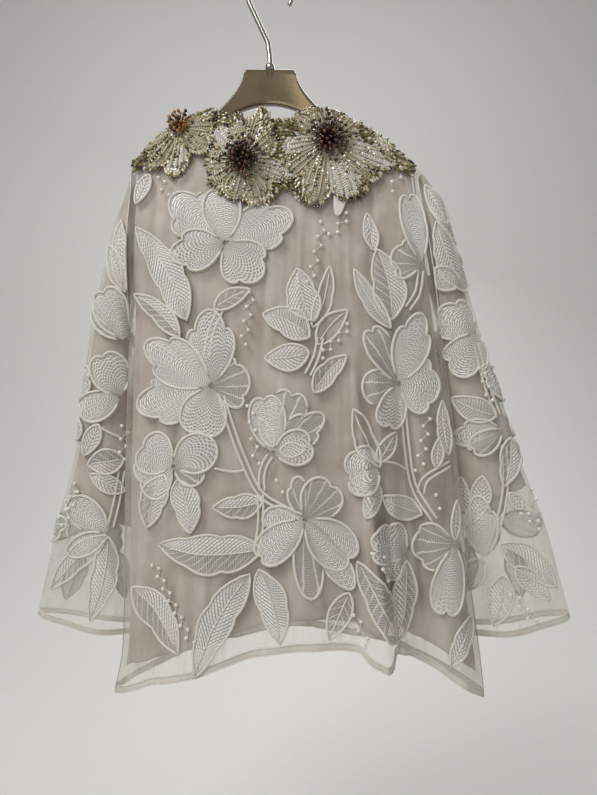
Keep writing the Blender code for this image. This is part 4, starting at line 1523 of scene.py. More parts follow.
BACK_LEAVES = (
    (-60, -428, 262, 86, 17, 6, SATIN, VEIN), (-20, -440, 300, 60, 13, 3),
    (60, -455, 216, 62, 15, 4, VEIN), (120, -462, 284, 72, 16, 6),
    (-130, -455, 250, 60, 12, 3, LATTICE), (-40, -640, 60, 60, 14, 3, SATIN, VEIN),
    (-110, -640, 262, 92, 18, 7), (-76, -650, 292, 88, 17, 5, VEIN), (84, -655, 230, 58, 14, 4),
    (160, -668, 268, 96, 18, 6, SATIN, VEIN), (200, -660, 292, 82, 14, 4, LATTICE),
    (-10, -580, 100, 40, 10), (-120, -300, 110, 44, 12, 2, SATIN, VEIN), (10, -330, 86, 40, 12),
    (140, -320, 70, 46, 12, 2, VEIN), (190, -500, 80, 78, 13, 3), (-150, -500, 96, 60, 11, 2),
    (60, -760, 20, 60, 13, 3, SATIN, VEIN),
)
BACK_STEMS = (
    ((-68, -420), (-84, -460), (-92, -500)), ((84, -452), (56, -470), (36, -490)),
    ((30, -552), (22, -590), (12, -634)), ((120, -452), (136, -500), (140, -530)),
    ((-84, -622), (-50, -660), (-30, -680)), ((130, -650), (90, -690), (60, -700)),
)
BACK_SPRIGS = (
    (-10, -300, -6, -380, 9), (-130, -400, -140, -440, 6), (50, -300, 40, -350, 7),
    (170, -420, 186, -470, 7), (-40, -500, -44, -560, 7), (90, -520, 84, -560, 6),
    (-150, -700, -160, -760, 7), (120, -720, 112, -780, 7), (200, -560, 206, -610, 6),
)
LEFT_BLOOMS = (
    (-172, -438, ((128, 56, 17, 1, VEIN), (112, 70, 21, 2))),
    (-180, -506, ((200, 54, 18, 2), (110, 60, 22, 2, LATTICE))),
    (-196, -670, ((176, 50, 17, 1, VEIN), (138, 62, 19, 1), (206, 56, 13, 1))),
)
LEFT_LEAVES = (
    (-171, -379, 91, 80, 10, 2), (-170, -381, 108, 58, 11, 0, LATTICE, LATTICE),
    (-204, -538, 242, 42, 10), (-178, -580, 188, 41, 15, 0, SATIN, VEIN),
    (-198, -672, 224, 95, 14, -4, VEIN), (-196, -674, 258, 104, 15, 5, LATTICE),
    (-178, -620, 150, 44, 10), (-160, -690, 280, 70, 11, 3, SATIN, VEIN),
)
LEFT_STEMS = (
    ((-204, -540), (-192, -548), (-180, -554)), ((-180, -592), (-186, -630), (-194, -664)),
)
LEFT_SPRIGS = (
    (-176, -540, -180, -580, 6), (-232, -610, -246, -650, 6), (-160, -740, -168, -780, 5),
)
RIGHT_BLOOMS = (
    (226, -374, ((160, 40, 13, 1),)),
    (245, -428, ((150, 52, 24, 3), (250, 56, 26, 3))),
    (278, -545, ((190, 56, 19, 3), (215, 45, 14, 2, VEIN))),
    (262, -702, ((235, 50, 15, 1, VEIN), (97, 78, 18, 3))),
)
RIGHT_LEAVES = (
    (208, -303, 117, 54, 9), (233, -381, 116, 89, 17, 5),
    (270, -528, 156, 55, 14, 3, LATTICE, LATTICE), (288, -554, 263, 59, 14, 4, SATIN, VEIN),
    (237, -650, 95, 48, 9), (278, -682, -38, 87, 17, 4, SATIN, VEIN), (296, -710, -44, 59, 12),
    (282, -720, 262, 65, 14, 3, VEIN), (304, -640, 130, 26, 7), (256, -600, 262, 60, 11, 3),
)
RIGHT_STEMS = (((244, -440), (258, -490), (274, -530)), ((280, -560), (282, -620), (268, -690)))
RIGHT_SPRIGS = (
    (304, -643, 326, -662, 5), (293, -742, 319, -778, 6), (250, -470, 262, -510, 6),
    (236, -740, 240, -780, 5),
)
# The back of a sleeve: flowers, leaves and sprigs, mirrored for the other one
SLEEVE_BACK_BLOOMS = (
    (205, -400, ((80, 58, 20, 3), (160, 44, 18, 2, VEIN), (300, 50, 19, 2, LATTICE))),
    (262, -520, ((70, 56, 20, 3), (190, 50, 20, 2, LATTICE), (300, 52, 18, 2))),
    (288, -660, ((110, 60, 20, 3), (230, 54, 20, 3), (350, 50, 17, 2, VEIN))),
)
SLEEVE_BACK_LEAVES = (
    (212, -330, 70, 50, 11), (236, -460, 300, 52, 12, 3, VEIN), (250, -590, 262, 66, 13, 3),
    (302, -700, 285, 64, 13, 3, SATIN, VEIN), (256, -700, 260, 66, 12, 2, LATTICE),
)
SLEEVE_BACK_SPRIGS = ((228, -500, 232, -560, 7), (322, -620, 330, -670, 6))


# Sub-assemblies


@dataclass(frozen=True)
class Finishes:
    """Every material of the blouse and its hanger."""

    organza: Material
    band: Material
    lining: Material
    fills: dict
    cord: Material
    pearl: Material
    petals: dict
    metal_thread: Material
    ground: Material
    beads: tuple
    stamens: tuple
    amber: tuple
    acrylic: Material
    steel: Material


def make_finishes() -> Finishes:
    """Build every material once.

    Returns:
        The materials.
    """
    # Each tuple is the thread tops' colour with its painted highlight, the grooves' dark colour,
    # partly backing and partly painted shade, and the stitch period
    silver = ((0.92, 0.89, 0.83), (0.50, 0.45, 0.36), 3.2)
    gold = ((0.52, 0.44, 0.27), (0.19, 0.15, 0.075), 3.2)
    return Finishes(
        organza=Organza("sheer_organza").make(),
        band=Organza("doubled_organza", thin=0.5, dense=0.62).make(),
        lining=Lining("blush_lining").make(),
        fills={fill: Stitches(f"cream_{fill.name.lower()}", fill).make() for fill in Fill},
        cord=Cord("cream_cord").make(),
        pearl=Bead("seed_pearl", (0.95, 0.92, 0.86), (0.84, 0.79, 0.71), roughness=0.26).make(),
        petals={
            SATIN: Stitches("silver_satin", SATIN, *silver).make(),
            LATTICE: Stitches("gold_satin", SATIN, *gold).make(),
        },
        metal_thread=Cord("champagne_cord", (0.76, 0.69, 0.52), (0.34, 0.28, 0.17)).make(),
        ground=Lining("collar_ground", (0.34, 0.28, 0.155), (0.19, 0.15, 0.07)).make(),
        beads=(
            Bead("olive_gold_bead", (0.31, 0.26, 0.11), (0.155, 0.125, 0.05), 0.3, 0.28).make(),
            Bead("champagne_bead", (0.74, 0.65, 0.45), (0.50, 0.41, 0.25), 0.15, 0.3).make(),
            Bead("dark_bead", (0.06, 0.04, 0.03), (0.03, 0.018, 0.012)).make(),
            Bead("silver_bead", (0.90, 0.88, 0.82), (0.70, 0.67, 0.61), 0.2, 0.22).make(),
        ),
        stamens=(
            Bead("maroon_bead", (0.075, 0.022, 0.014), (0.03, 0.010, 0.007)).make(),
            Bead("garnet_bead", (0.20, 0.075, 0.026), (0.09, 0.03, 0.012)).make(),
        ),
        amber=(
            Bead("amber_bead", (0.40, 0.20, 0.035), (0.20, 0.085, 0.015)).make(),
            Bead("brown_bead", (0.07, 0.03, 0.012), (0.03, 0.012, 0.006)).make(),
        ),
        acrylic=Acrylic("smoky_acrylic").make(),
        steel=Steel("warm_steel").make(),
    )


@dataclass
class ClothPart:
    """A part cut from cloth, with what is sewn on it."""

    finishes: Finishes
    wall: float = 0.45
    lining_wall: float = 0.9
    sewn: list = field(default_factory=list)

    def stood_off(self, at: Callable, across: float, down: float, lift: float) -> Vector:
        """Point of a form moved along its own outward direction.

        Args:
            at: The form over shares across and down.
            across: Share across.
            down: Share down.
            lift: Millimetres outwards.

        Returns:
            The moved point.
        """
        step = 0.004
        left, right = at(max(across - step, 0), down), at(min(across + step, 1), down)
        above, below = at(across, max(down - step, 0)), at(across, min(down + step, 1))
        way = (right - left).cross(below - above)
        if way.length < 1e-9:
            return at(across, down)
        return at(across, down) + way.normalized() * lift

    def shell(
        self, name: str, at: Callable, columns: int, rows: int, finish: object,
        slot: str, wall: float, outward: Callable, closed: bool = False,
        replaces: Sequence[str] = (),
    ) -> Object:
        """Cut a shell on a form and give it its wall.

        Args:
            name: The piece's name.
            at: Its form over shares across and down.
            columns: Cells across.
            rows: Cells down.
            finish: Its material.
            slot: Handed on to add_piece.
            wall: Its thickness in millimetres.
            outward: Outward direction at a face's middle.
            closed: Whether it is a tube.
            replaces: Solids it stands for.

        Returns:
            The piece.
        """
        bm = bmesh.new()
        width = (at(0.0, 0.5) - at(0.5, 0.5)).length * 2 + 1

        def mapped(across: float, down: float) -> tuple:
            """Point and UV of the shell."""
            point = at(across, down)
            return point, (across * width, point.z)

        sheet_grid(bm, columns, rows, mapped, closed)
        face_outwards(bm, outward)
        piece = add_piece(name, bm, (finish,), slot, replaces=replaces)
        thicken(piece, wall)
        return piece

    def keep(
        self, name: str, batch: Batch, finish: object, slot: str = "organza", **rest
    ) -> None:
        """Turn a batch into a piece that is sewn on this part.

        Args:
            name: The piece's name.
            batch: Its meshes.
            finish: Its material, or all of them in order.
            slot: Handed on to add_piece.
            **rest: What else add_piece takes.
        """
        finishes = finish if isinstance(finish, tuple) else (finish,)
        self.sewn.append(add_piece(name, batch.whole, finishes, slot, **rest))

    def sew(self, name: str, needle: Needle) -> None:
        """Turn a needle's work into pieces.

        Args:
            name: Start of each piece's name.
            needle: The work.
        """
        look = self.finishes
        for fill, batch in needle.fills.items():
            self.keep(f"{name}_{fill.name.lower()}", batch, look.fills[fill])
        self.keep(f"{name}_cords", needle.cords, look.cord)
        self.keep(f"{name}_pearls", needle.pearls, look.pearl, "beadwork")

    def seam(
        self, name: str, routes: Sequence[list], radius: float, finish: object = None
    ) -> None:
        """Run cords along seams and edges as one piece."""
        batch = Batch()
        for route in routes:
            bm = bmesh.new()
            tube(bm, route, radius, 6)
            batch.take(bm)
        self.keep(name, batch, finish or self.finishes.cord)


@dataclass
class Bodice(ClothPart):
    """The front and back of the blouse, their lining and their flowers."""

    body: BodyForm = field(default_factory=BodyForm)
    lining_short: float = 30.0
    lining_top: float = 14.0
    shells: dict = field(default_factory=dict)
    linings: dict = field(default_factory=dict)

    def panel_at(self, side: Side) -> Callable:
        """Form of a panel over shares across and down."""

        def at(across: float, down: float) -> Vector:
            """Point of the panel."""
            column = 2 * across - 1
            top = self.body.top_line(self.body.top_x(column), side)
            z = blend(top, self.body.hem_line(column, side), down ** 1.4)
            return self.body.panel_point(column, z, side)

        return at

    def lining_at(self, side: Side) -> Callable:
        """Form of a lining over shares across and down."""
        body = self.body

        def at(across: float, down: float) -> Vector:
            """Point of the lining."""
            column = 2 * across - 1
            top = body.top_line(body.top_x(column), side) - self.lining_top
            hem = body.hem_line(column, side) + self.lining_short
            z = blend(top, hem, down)
            inset = body.lining_inset
            x = blend(body.left.at(z) + inset, body.right.at(z) - inset, across)
            depth = body.lining(x, z, side, top - z)
            depth += (1.2 * body.fine(x, z, side) - 1.0) * ease(0, 0.15, down)
            return Vector((x, side.value * max(depth, 0.2), z))

        return at

    def band_at(self, side: Side, lift: float, rise: float) -> Callable:
        """Form of the turned hem over shares across and up its height."""

        def at(across: float, down: float) -> Vector:
            """Point of the hem."""
            column = 2 * across - 1
            z = self.body.hem_line(column, side) + rise * (1 - down)
            return self.body.panel_point(column, z, side, lift)

        return at

    def build(self) -> None:
        """Make the panels, the linings, the hems and the seams."""
        look = self.finishes
        for side, columns, rows in ((Side.FRONT, 150, 170), (Side.BACK, 110, 130)):
            word, outward = side.name.lower(), away(side)
            self.shells[side] = self.shell(
                f"organza_{word}", self.panel_at(side), columns, rows, look.organza,
                "organza", self.wall, outward, replaces=(f"{word}_panel",),
            )
            self.linings[side] = self.shell(
                f"blush_lining_{word}", self.lining_at(side), 130, 80, look.lining,
                "lining", self.lining_wall, outward, replaces=(f"lining_{word}",),
            )
            self.sewn.append(self.shell(
                f"hem_band_{word}", self.band_at(side, 0.75, self.body.hem_band), columns, 3,
                look.band, "organza", 0.4, outward,
            ))
            edges = []
            for share in (0.02, 0.98):
                edge = self.band_at(side, 0.9, self.body.hem_band)
                edges.append([edge(k / 120, share) for k in range(121)])
            self.seam(f"hem_edges_{word}", edges, 0.75)
        # The side and shoulder seam cords take the darker lining material: painted shade for the
        # shadowed gap between the body and the sleeves
        self.seam("side_seams", self.side_routes(), 0.55, look.lining)

    def side_routes(self) -> list:
        """Lines of the side seams and the shoulder seams."""
        body, routes = self.body, []
        for column in (-1.0, 1.0):
            hem = body.hem_line(column, Side.FRONT)
            line = []
            for k in range(61):
                z = blend(body.armpit, hem, k / 60)
                line.append(Vector((body.x_of(column, z), 0, z)))
            routes.append(line)
            line = []
            for k in range(25):
                x = column * blend(body.neck_half, 160.0, k / 24)
                line.append(Vector((x, 0, body.top_line(x, Side.FRONT))))
            routes.append(line)
        return routes

    def embroider(self) -> None:
        """Sew the flowers, leaves, stems and pearls of both sides."""
        work = (
            (Side.FRONT, FRONT_BLOOMS, FRONT_LEAVES, FRONT_STEMS, FRONT_SPRIGS),
            (Side.BACK, BACK_BLOOMS, BACK_LEAVES, BACK_STEMS, BACK_SPRIGS),
        )
        for side, blooms, leaves, stems, sprigs in work:
            needle = Needle(BodyFace(self.body, side).place)
            embroider(needle, blooms, leaves, stems, sprigs)
            self.sew(side.name.lower(), needle)


TALL_STEM, TWIN_GAP = 16.0, 6.2


def embroider(
    needle: Needle, blooms: Sequence, leaves: Sequence, stems: Sequence, sprigs: Sequence
) -> None:
    """Lay one face's motifs, the stems lowest.

    Args:
        needle: The needle over the face.
        blooms: Flowers.
        leaves: Leaves.
        stems: Twin stems.
        sprigs: Pearl sprigs.
    """
    for marks in stems:
        tall = abs(marks[0][1] - marks[-1][1]) > TALL_STEM
        needle.stem(marks, TWIN_GAP if tall else 0.0)
    for leaf in leaves:
        needle.leaf(*leaf)
    for x, z, petals in blooms:
        needle.bloom(x, z, petals)
    for sprig in sprigs:
        needle.sprig(*sprig)


@dataclass
class Sleeve(ClothPart):
    """One bell sleeve with its lining, its cuff and its flowers."""

    body: BodyForm = field(default_factory=BodyForm)
    name: str = "left"
    rows: tuple = SLEEVE_LEFT
    across: float = -1.0
    lining_end: float = 0.74
    length: float = 600.0
    shell_piece: object = None
    lining_piece: object = None

    def build(self) -> None:
        """Make the sleeve, its lining, its cuff and its armhole seam."""
        look, form = self.finishes, SleeveForm(self.body, self.rows, self.across)
        self.form = form
        sign = -self.across

        def at(across: float, down: float) -> Vector:
            """Point of the sleeve."""
            return form.creased(down, 2 * pi * across)

        def outward(middle: Vector) -> Vector:
            """Direction from the sleeve's middle line to a face."""
            along = clamp((-0.24 - middle.z) / 0.56, 0, 1)
            centre = Vector((
                (form.outer_x.at(along) + form.inner_x.at(along)) / 2,
                form.middle_y(along, 0.5), middle.z / MM,
            ))
            return middle - centre * MM

        def lined(across: float, down: float) -> Vector:
            """Point of the lining."""
            along = blend(0.03, self.lining_end, down)
            inset = blend(1.0, 4.6, ease(0.03, 0.3, along))
            return form.lining(along, 2 * pi * across, inset)

        def cuff(across: float, down: float) -> Vector:
            """Point of the turned cuff."""
            start = 1 - self.body.hem_band / self.length
            return self.stood_off(at, across, blend(start, 1.0, down), 0.7 * sign)

        self.shell_piece = self.shell(
            f"organza_sleeve_{self.name}", at, 96, 120, look.organza, "organza",
            self.wall, outward, True, (f"sleeve_{self.name}",),
        )
        self.lining_piece = self.shell(
            f"blush_sleeve_{self.name}", lined, 64, 60, look.lining, "lining",
            self.lining_wall, outward, True, (f"sleeve_lining_{self.name}",),
        )
        self.sewn.append(self.shell(
            f"cuff_band_{self.name}", cuff, 96, 3, look.band, "organza", 0.4, outward, True,
        ))
        edges = [[cuff(k / 96, share) for k in range(97)] for share in (0.03, 0.97)]
        edges.append([at(k / 60, 0.004) for k in range(61)])
        self.seam(f"sleeve_seams_{self.name}", edges, 0.75)

    def embroider(
        self, blooms: Sequence, leaves: Sequence, stems: Sequence, sprigs: Sequence
    ) -> None:
        """Sew the sleeve's flowers, front and back.

        Args:
            blooms: Its front flowers.
            leaves: Its front leaves.
            stems: Its front stems.
            sprigs: Its front sprigs.
        """
        face = SleeveFace(self.form)
        needle = Needle(face.place)
        embroider(needle, blooms, leaves, stems, sprigs)
        needle.place = face.seen_from(Side.BACK).place
        flip = self.across > 0
        for x, z, petals in SLEEVE_BACK_BLOOMS:
            turned = [(row[0] if flip else 180 - row[0], *row[1:]) for row in petals]
            needle.bloom(self.mirrored(x), z, turned)
        for x, z, angle, *rest in SLEEVE_BACK_LEAVES:
            needle.leaf(self.mirrored(x), z, angle if flip else 180 - angle, *rest)
        for x0, z0, x1, z1, count in SLEEVE_BACK_SPRIGS:
            needle.sprig(self.mirrored(x0), z0, self.mirrored(x1), z1, count)
        self.sew(f"sleeve_{self.name}", needle)

    def mirrored(self, x: float) -> float:
        """A right sleeve's place, carried to this sleeve."""
        return x if self.across > 0 else 34.0 - 0.92 * x


def pick(chance: random.Random, weights: Sequence[int]) -> int:
    """Slot of a bead, by the weights of its colours."""
    return chance.choices(range(len(weights)), weights)[0]


FRONT_LOBES = (
    (-141, -236, 20), (-110, -245, 18), (-52, -270, 21), (-12, -282, 27), (48, -281, 25),
    (93, -277, 24), (121, -251, 16), (146, -231, 22), (19, -264, 16),
)
NECK_LOBES = ((-36, -177, 14), (-7, -170, 11), (30, -180, 12), (46, -171, 14))
BACK_LOBES = (
    (-138, -240, 22), (-98, -252, 24), (-52, -264, 25), (3, -272, 30), (58, -266, 26),
    (104, -254, 24), (146, -240, 22),
)
COLLAR_BLOOMS = (
    (-104, -188, (
        (150, 44, 17, 1, LATTICE), (60, 40, 17, 1, LATTICE), (200, 46, 18, 1),
        (-8, 42, 18, 2, LATTICE), (232, 58, 18, 1, LATTICE), (318, 46, 15, 1, LATTICE),
        (264, 58, 17, 1))),
    (-30, -232, (
        (180, 46, 18, 2, LATTICE), (32, 44, 15, 1, LATTICE), (130, 54, 15, 1),
        (100, 46, 14, 1, LATTICE), (215, 46, 18, 1, LATTICE), (250, 47, 18, 1, LATTICE),
        (70, 64, 9, 1, LATTICE), (-16, 56, 14, 1), (290, 54, 22, 2, LATTICE))),
    (67, -206, (
        (45, 44, 17, 1, LATTICE), (145, 46, 14, 1, LATTICE), (118, 42, 15, 1, LATTICE),
        (190, 50, 14, 1), (222, 66, 16, 1, LATTICE), (322, 76, 18, 1, LATTICE),
        (256, 76, 20, 1, LATTICE), (345, 84, 17, 1), (294, 78, 22, 2))),
)
COLLAR_BACK_BLOOMS = (
    (-104, -205, (
        (150, 40, 17, 1, LATTICE), (30, 42, 17, 2), (226, 52, 20, 1), (280, 48, 20, 1, LATTICE))),
    (-30, -218, (
        (180, 44, 18, 2, LATTICE), (60, 34, 15, 1, LATTICE), (240, 50, 22, 1),
        (300, 56, 25, 2, LATTICE), (0, 40, 18, 1))),
    (44, -214, (
        (120, 34, 15, 1, LATTICE), (30, 40, 17, 2, LATTICE), (200, 40, 18, 1), (284, 52, 24, 2),
        (330, 56, 22, 1, LATTICE))),
    (112, -208, (
        (160, 36, 16, 1, LATTICE), (40, 40, 17, 2), (256, 48, 21, 1), (318, 52, 20, 1, LATTICE))),
)

COLLAR_ROWS = {Side.FRONT: COLLAR_BLOOMS, Side.BACK: COLLAR_BACK_BLOOMS}


@dataclass
class Collar(ClothPart):
    """The flower collar: its ground, its beaded petals and its stamens."""

    body: BodyForm = field(default_factory=BodyForm)
    lift: float = 0.95
    thick: float = 1.6
    lobe: float = 26.0
    ends: tuple = (-161.0, 170.0)
    drops: tuple = (36.0, 12.0)
    end: float = 0.985
    dome: float = 2.4
    strand: float = 0.8
    rim_step: float = 3.9
    cover_step: tuple = (4.3, 5.6)
    golden_turn: float = 2.39996
    seed: int = 11

    def edge(self, x: float, lobes: Sequence, plain: float, way: int) -> float:
        """Edge of the collar at x: its plain line, or a petal tip past it."""
        edge = plain
        for lobe_x, lobe_z, half in lobes:
            off = (x - lobe_x) / half
            if abs(off) < 1:
                tip = self.lobe * (1 - sqrt(1 - off * off))
                edge = way * max(way * edge, way * lobe_z - tip)
        return edge

    def span(self, column: float, side: Side) -> tuple:
        """Top and bottom of the collar in one column.

        Args:
            column: From -1 to 1.
            side: Front or back.

        Returns:
            Two heights in millimetres.
        """
        x = self.body.top_x(column)
        top = self.body.top_line(x, side)
        drop = blend(*self.drops, abs(column) ** 4)
        front = side is Side.FRONT
        bottom = self.edge(x, FRONT_LOBES if front else BACK_LOBES, top - drop, -1)
        if front and abs(x) < self.body.neck_half - 4:
            top = self.edge(x, NECK_LOBES, top, 1)
        return top, bottom

    def faces(self) -> dict:
        """Plain faces of both sides under the collar, finely sampled."""
        return {
            side: BodyFace(self.body, side, -176, -140, 3.0, 2.5, 118, 66, plain=True)
            for side in Side
        }

    def build(self) -> None:
        """Make the ground, the petals and the stamens."""
        faces = self.faces()
        look = self.finishes
        body = self.body
        for side in Side:
            word, face = side.name.lower(), faces[side]

            def at(
                across: float, down: float, side: Side = side, face: Face = face
            ) -> Vector:
                """Point of the ground."""
                column = blend(-self.end, self.end, across)
                top, bottom = self.span(column, side)
                z = blend(top, bottom, down ** 1.3)
                lift = blend(self.lift + self.thick, 1.4, ease(0.93, 1.0, down))
                return face.place(body.x_of(column, z), z, lift)

            self.sewn.append(self.shell(
                f"collar_ground_{word}", at, 150, 44, look.ground, "beadwork",
                1.0, away(side), replaces=(f"collar_{word}",),
            ))
            self.petals(word, side, faces)
        self.stamens(faces[Side.FRONT])
        front = faces[Side.FRONT]

        def tip(across: float, down: float) -> Vector:
            """Point of the plain tip under the right flower."""
            x = 84 - 5 * down + (across - 0.5) * 18 * (1.001 - down) ** 0.4
            return front.place(x, blend(-268, -297, down), 2.6)

        self.sewn.append(self.shell(
            "collar_tip", tip, 8, 12, look.cord, "organza", 0.4, away(Side.FRONT),
        ))

    def over(self, side: Side, faces: dict) -> Callable:
        """Place function of one side that wraps over the shoulder seam."""
        body = self.body
        other = Side.BACK if side is Side.FRONT else Side.FRONT

        def place(x: float, z: float, lift: float) -> Vector:
            """Point over a place, carried to the other side past the seam."""
            x = clamp(x, *self.ends)
            top = body.top_line(x, side)
            if abs(x) >= body.neck_half:
                if z > top:
                    return faces[other].place(x, 2 * top - z, lift)
                return faces[side].place(x, z, lift)
            rim = self.edge(x, NECK_LOBES, top, 1) if side is Side.FRONT else top
            return faces[side].place(x, min(z, rim + 1.5), lift)

        return place

    def petals(self, word: str, side: Side, faces: dict) -> None:
        """Lay one side's petals with their beads.

        Args:
            word: The side in the pieces' names.
            side: Front or back.
            faces: Faces under the collar.
        """
        look, chance = self.finishes, random.Random(self.seed + side.value)
        place = self.over(side, faces)
        needle = Needle(place, self.lift + self.thick + 0.9, 0.1)
        beads = Batch()
        self.cover(beads, place, side, chance)
        for x, z, petals in COLLAR_ROWS[side]:
            for row in petals:
                turned, grown = chance.uniform(-5, 5), chance.uniform(0.93, 1.06)
                row = (row[0] + turned, row[1] * grown, row[2] * 0.88, *row[3:])
                route = needle.petal(x, z, row, cord=1.1, dome=self.dome)
                self.ribs(needle, x, z, row)
                small = bmesh.new()
                self.rim(small, route, place(x, z, 0.0), chance)
                self.scatter(small, needle, x, z, row, chance)
                beads.take(small)
        for fill, finish in look.petals.items():
            label = f"collar_{fill.name.lower()}_{word}"
            self.keep(label, needle.fills[fill], finish, "beadwork")
        self.keep(f"collar_cords_{word}", needle.cords, look.metal_thread, "beadwork")
        self.keep(f"collar_beads_{word}", beads, look.beads, "beadwork", smooth=False)

    def cover(
        self, beads: Batch, place: Callable, side: Side, chance: random.Random
    ) -> None:
        """Sew beads closely over the whole ground and out past its edges.

        Args:
            beads: The beads so far.
            place: Function over the collar.
            side: Front or back.
            chance: Seeded dice.
        """
        step = self.cover_step[side is Side.BACK]
        across = int(330 / step)
        for i in range(across + 1):
            column = blend(-self.end, self.end, i / across)
            top, bottom = self.span(column, side)
            x0 = self.body.top_x(column)
            small = bmesh.new()
            down = max(int((top - bottom) / (step * 0.9)), 1)
            for k in range(down + 1):
                x = x0 + chance.uniform(-1.2, 1.2)
                z = blend(top + 0.5, bottom - 1.0, k / down) + chance.uniform(-1, 1)
                heart = min(
                    COLLAR_ROWS[side], key=lambda row: hypot(x - row[0], z - row[1])
                )
                spot = place(x, z, self.lift + self.thick + chance.uniform(0.5, 1.6))
                way = spot - place(heart[0], heart[1], 0.0)
                dot(small, spot, chance.uniform(1.5, 2.15), 1,
                    pick(chance, (52, 30, 12, 6)), way, 1.6)
            beads.take(small)

    def rim(
        self, bm: BMesh, route: Sequence, foot: Vector, chance: random.Random
    ) -> None:
        """Sew beads along a petal's edge, each pointing away from its foot.

        Args:
            bm: Mesh to add to.
            route: Points along the edge.
            foot: The petal's foot.
            chance: Seeded dice.
        """
        gone = 0.0
        for start, stop in zip(route, route[1:]):
            run = (stop - start).length
            while gone < run:
                spot = start.lerp(stop, gone / run if run else 0)
                way = (spot - foot).normalized()
                slot = pick(chance, (38, 34, 14, 14))
                dot(bm, spot + way * 0.8, chance.uniform(1.5, 2.1), 1, slot, way, 1.8)
                if chance.random() < 0.4:
                    head = spot + way * chance.uniform(3.2, 4.2)
                    dot(bm, head, chance.uniform(1.3, 1.8), 1, 2 if slot else 0)
                gone += self.rim_step
            gone -= run

    def ribs(self, needle: Needle, x: float, z: float, row: tuple) -> None:
        """Lay raised thread bundles that fan from a petal's foot."""
        angle, length, half = row[:3]
        base = needle.level(0)
        for ray in (-0.78, -0.3, 0.2, 0.7):
            route = []
            for k in range(9):
                t = blend(0.14, 0.9 - 0.16 * ray * ray, k / 8)
                aside = ray * half * sin(pi * t / 2) ** 0.9
                spot = needle.turned(x, z, angle, aside, t * length)
                lift = base + padding(self.dome, ray, t) + 0.4
                route.append(needle.place(*spot, lift))
            needle.cord(route, 1.25)

    def scatter(
        self, bm: BMesh, needle: Needle, x: float, z: float, row: tuple,
        chance: random.Random,
    ) -> None:
        """Sew loose rows of beads that fan from a petal's foot."""
        angle, length, half = row[:3]
        base = needle.level(0)
        for ray in (-0.63, -0.2, 0.24, 0.66):
            for k in range(int(length / 4.6)):
                t = (k + chance.uniform(0.3, 0.7)) * 4.6 / length
                if t < 0.2 or t > 0.9 or chance.random() < 0.22 + 0.5 * t:
                    continue
                aside = (ray + chance.uniform(-0.1, 0.1)) * half * sin(pi * t / 2)
                spot = needle.turned(x, z, angle, aside, t * length * 0.92)
                spot = needle.place(*spot, base + padding(self.dome, ray, t) + 0.9)
                dot(bm, spot, chance.uniform(1.4, 2.1), 1, pick(chance, (50, 18, 22, 10)))

    def stamens(self, face: Face) -> None:
        """Make the three tufts of beaded stamens.

        Args:
            face: Front face under the collar.
        """
        look = self.finishes
        tufts = (
            ("left", -104, -188, 10.0, look.amber, 30),
            ("centre", -30, -230, 16.0, look.stamens, 60),
            ("right", 67, -206, 15.0, look.stamens, 58),
        )
        chance = random.Random(self.seed)
        for name, x, z, radius, colours, strands in tufts:
            spot = face.place(x, z, self.lift + self.thick + 2.6)
            way = (spot - face.place(x, z, 0.0)).normalized()
            turn = way.to_track_quat("Z", "Y").to_matrix()
            batch = Batch()
            pad = bmesh.new()
            bmesh.ops.create_uvsphere(pad, u_segments=20, v_segments=12, radius=radius * 0.9)
            bmesh.ops.scale(pad, verts=pad.verts, vec=(1, 1, 0.35))
            grown = Matrix.Scale(MM, 4) @ Matrix.Translation(spot) @ turn.to_4x4()
            bmesh.ops.transform(pad, matrix=grown, verts=pad.verts)
            batch.take(pad)
            for k in range(strands):
                lean = sqrt((k + 0.5) / strands) * 1.25
                round_it = k * self.golden_turn
                reach = radius * chance.uniform(0.8, 1.45)
                route = []
                for step in range(4):
                    share = step / 3
                    out = radius * 0.25 * lean + reach * share * sin(lean) * 1.05
                    up = radius * 0.2 + reach * share * cos(lean * (0.6 + 0.4 * share))
                    route.append(spot + turn @ Vector((
                        out * cos(round_it), out * sin(round_it), up)))
                strand = bmesh.new()
                tube(strand, route, self.strand, 5)
                for face_made in strand.faces:
                    face_made.material_index = 0 if k % 3 else 1
                dot(strand, route[-1], chance.uniform(2.0, 2.8), 1, 0 if k % 4 else 1)
                batch.take(strand)
            replaced = (f"stamens_{name}",)
            self.keep(f"stamen_tuft_{name}", batch, colours, "stamen_beads", replaces=replaced)


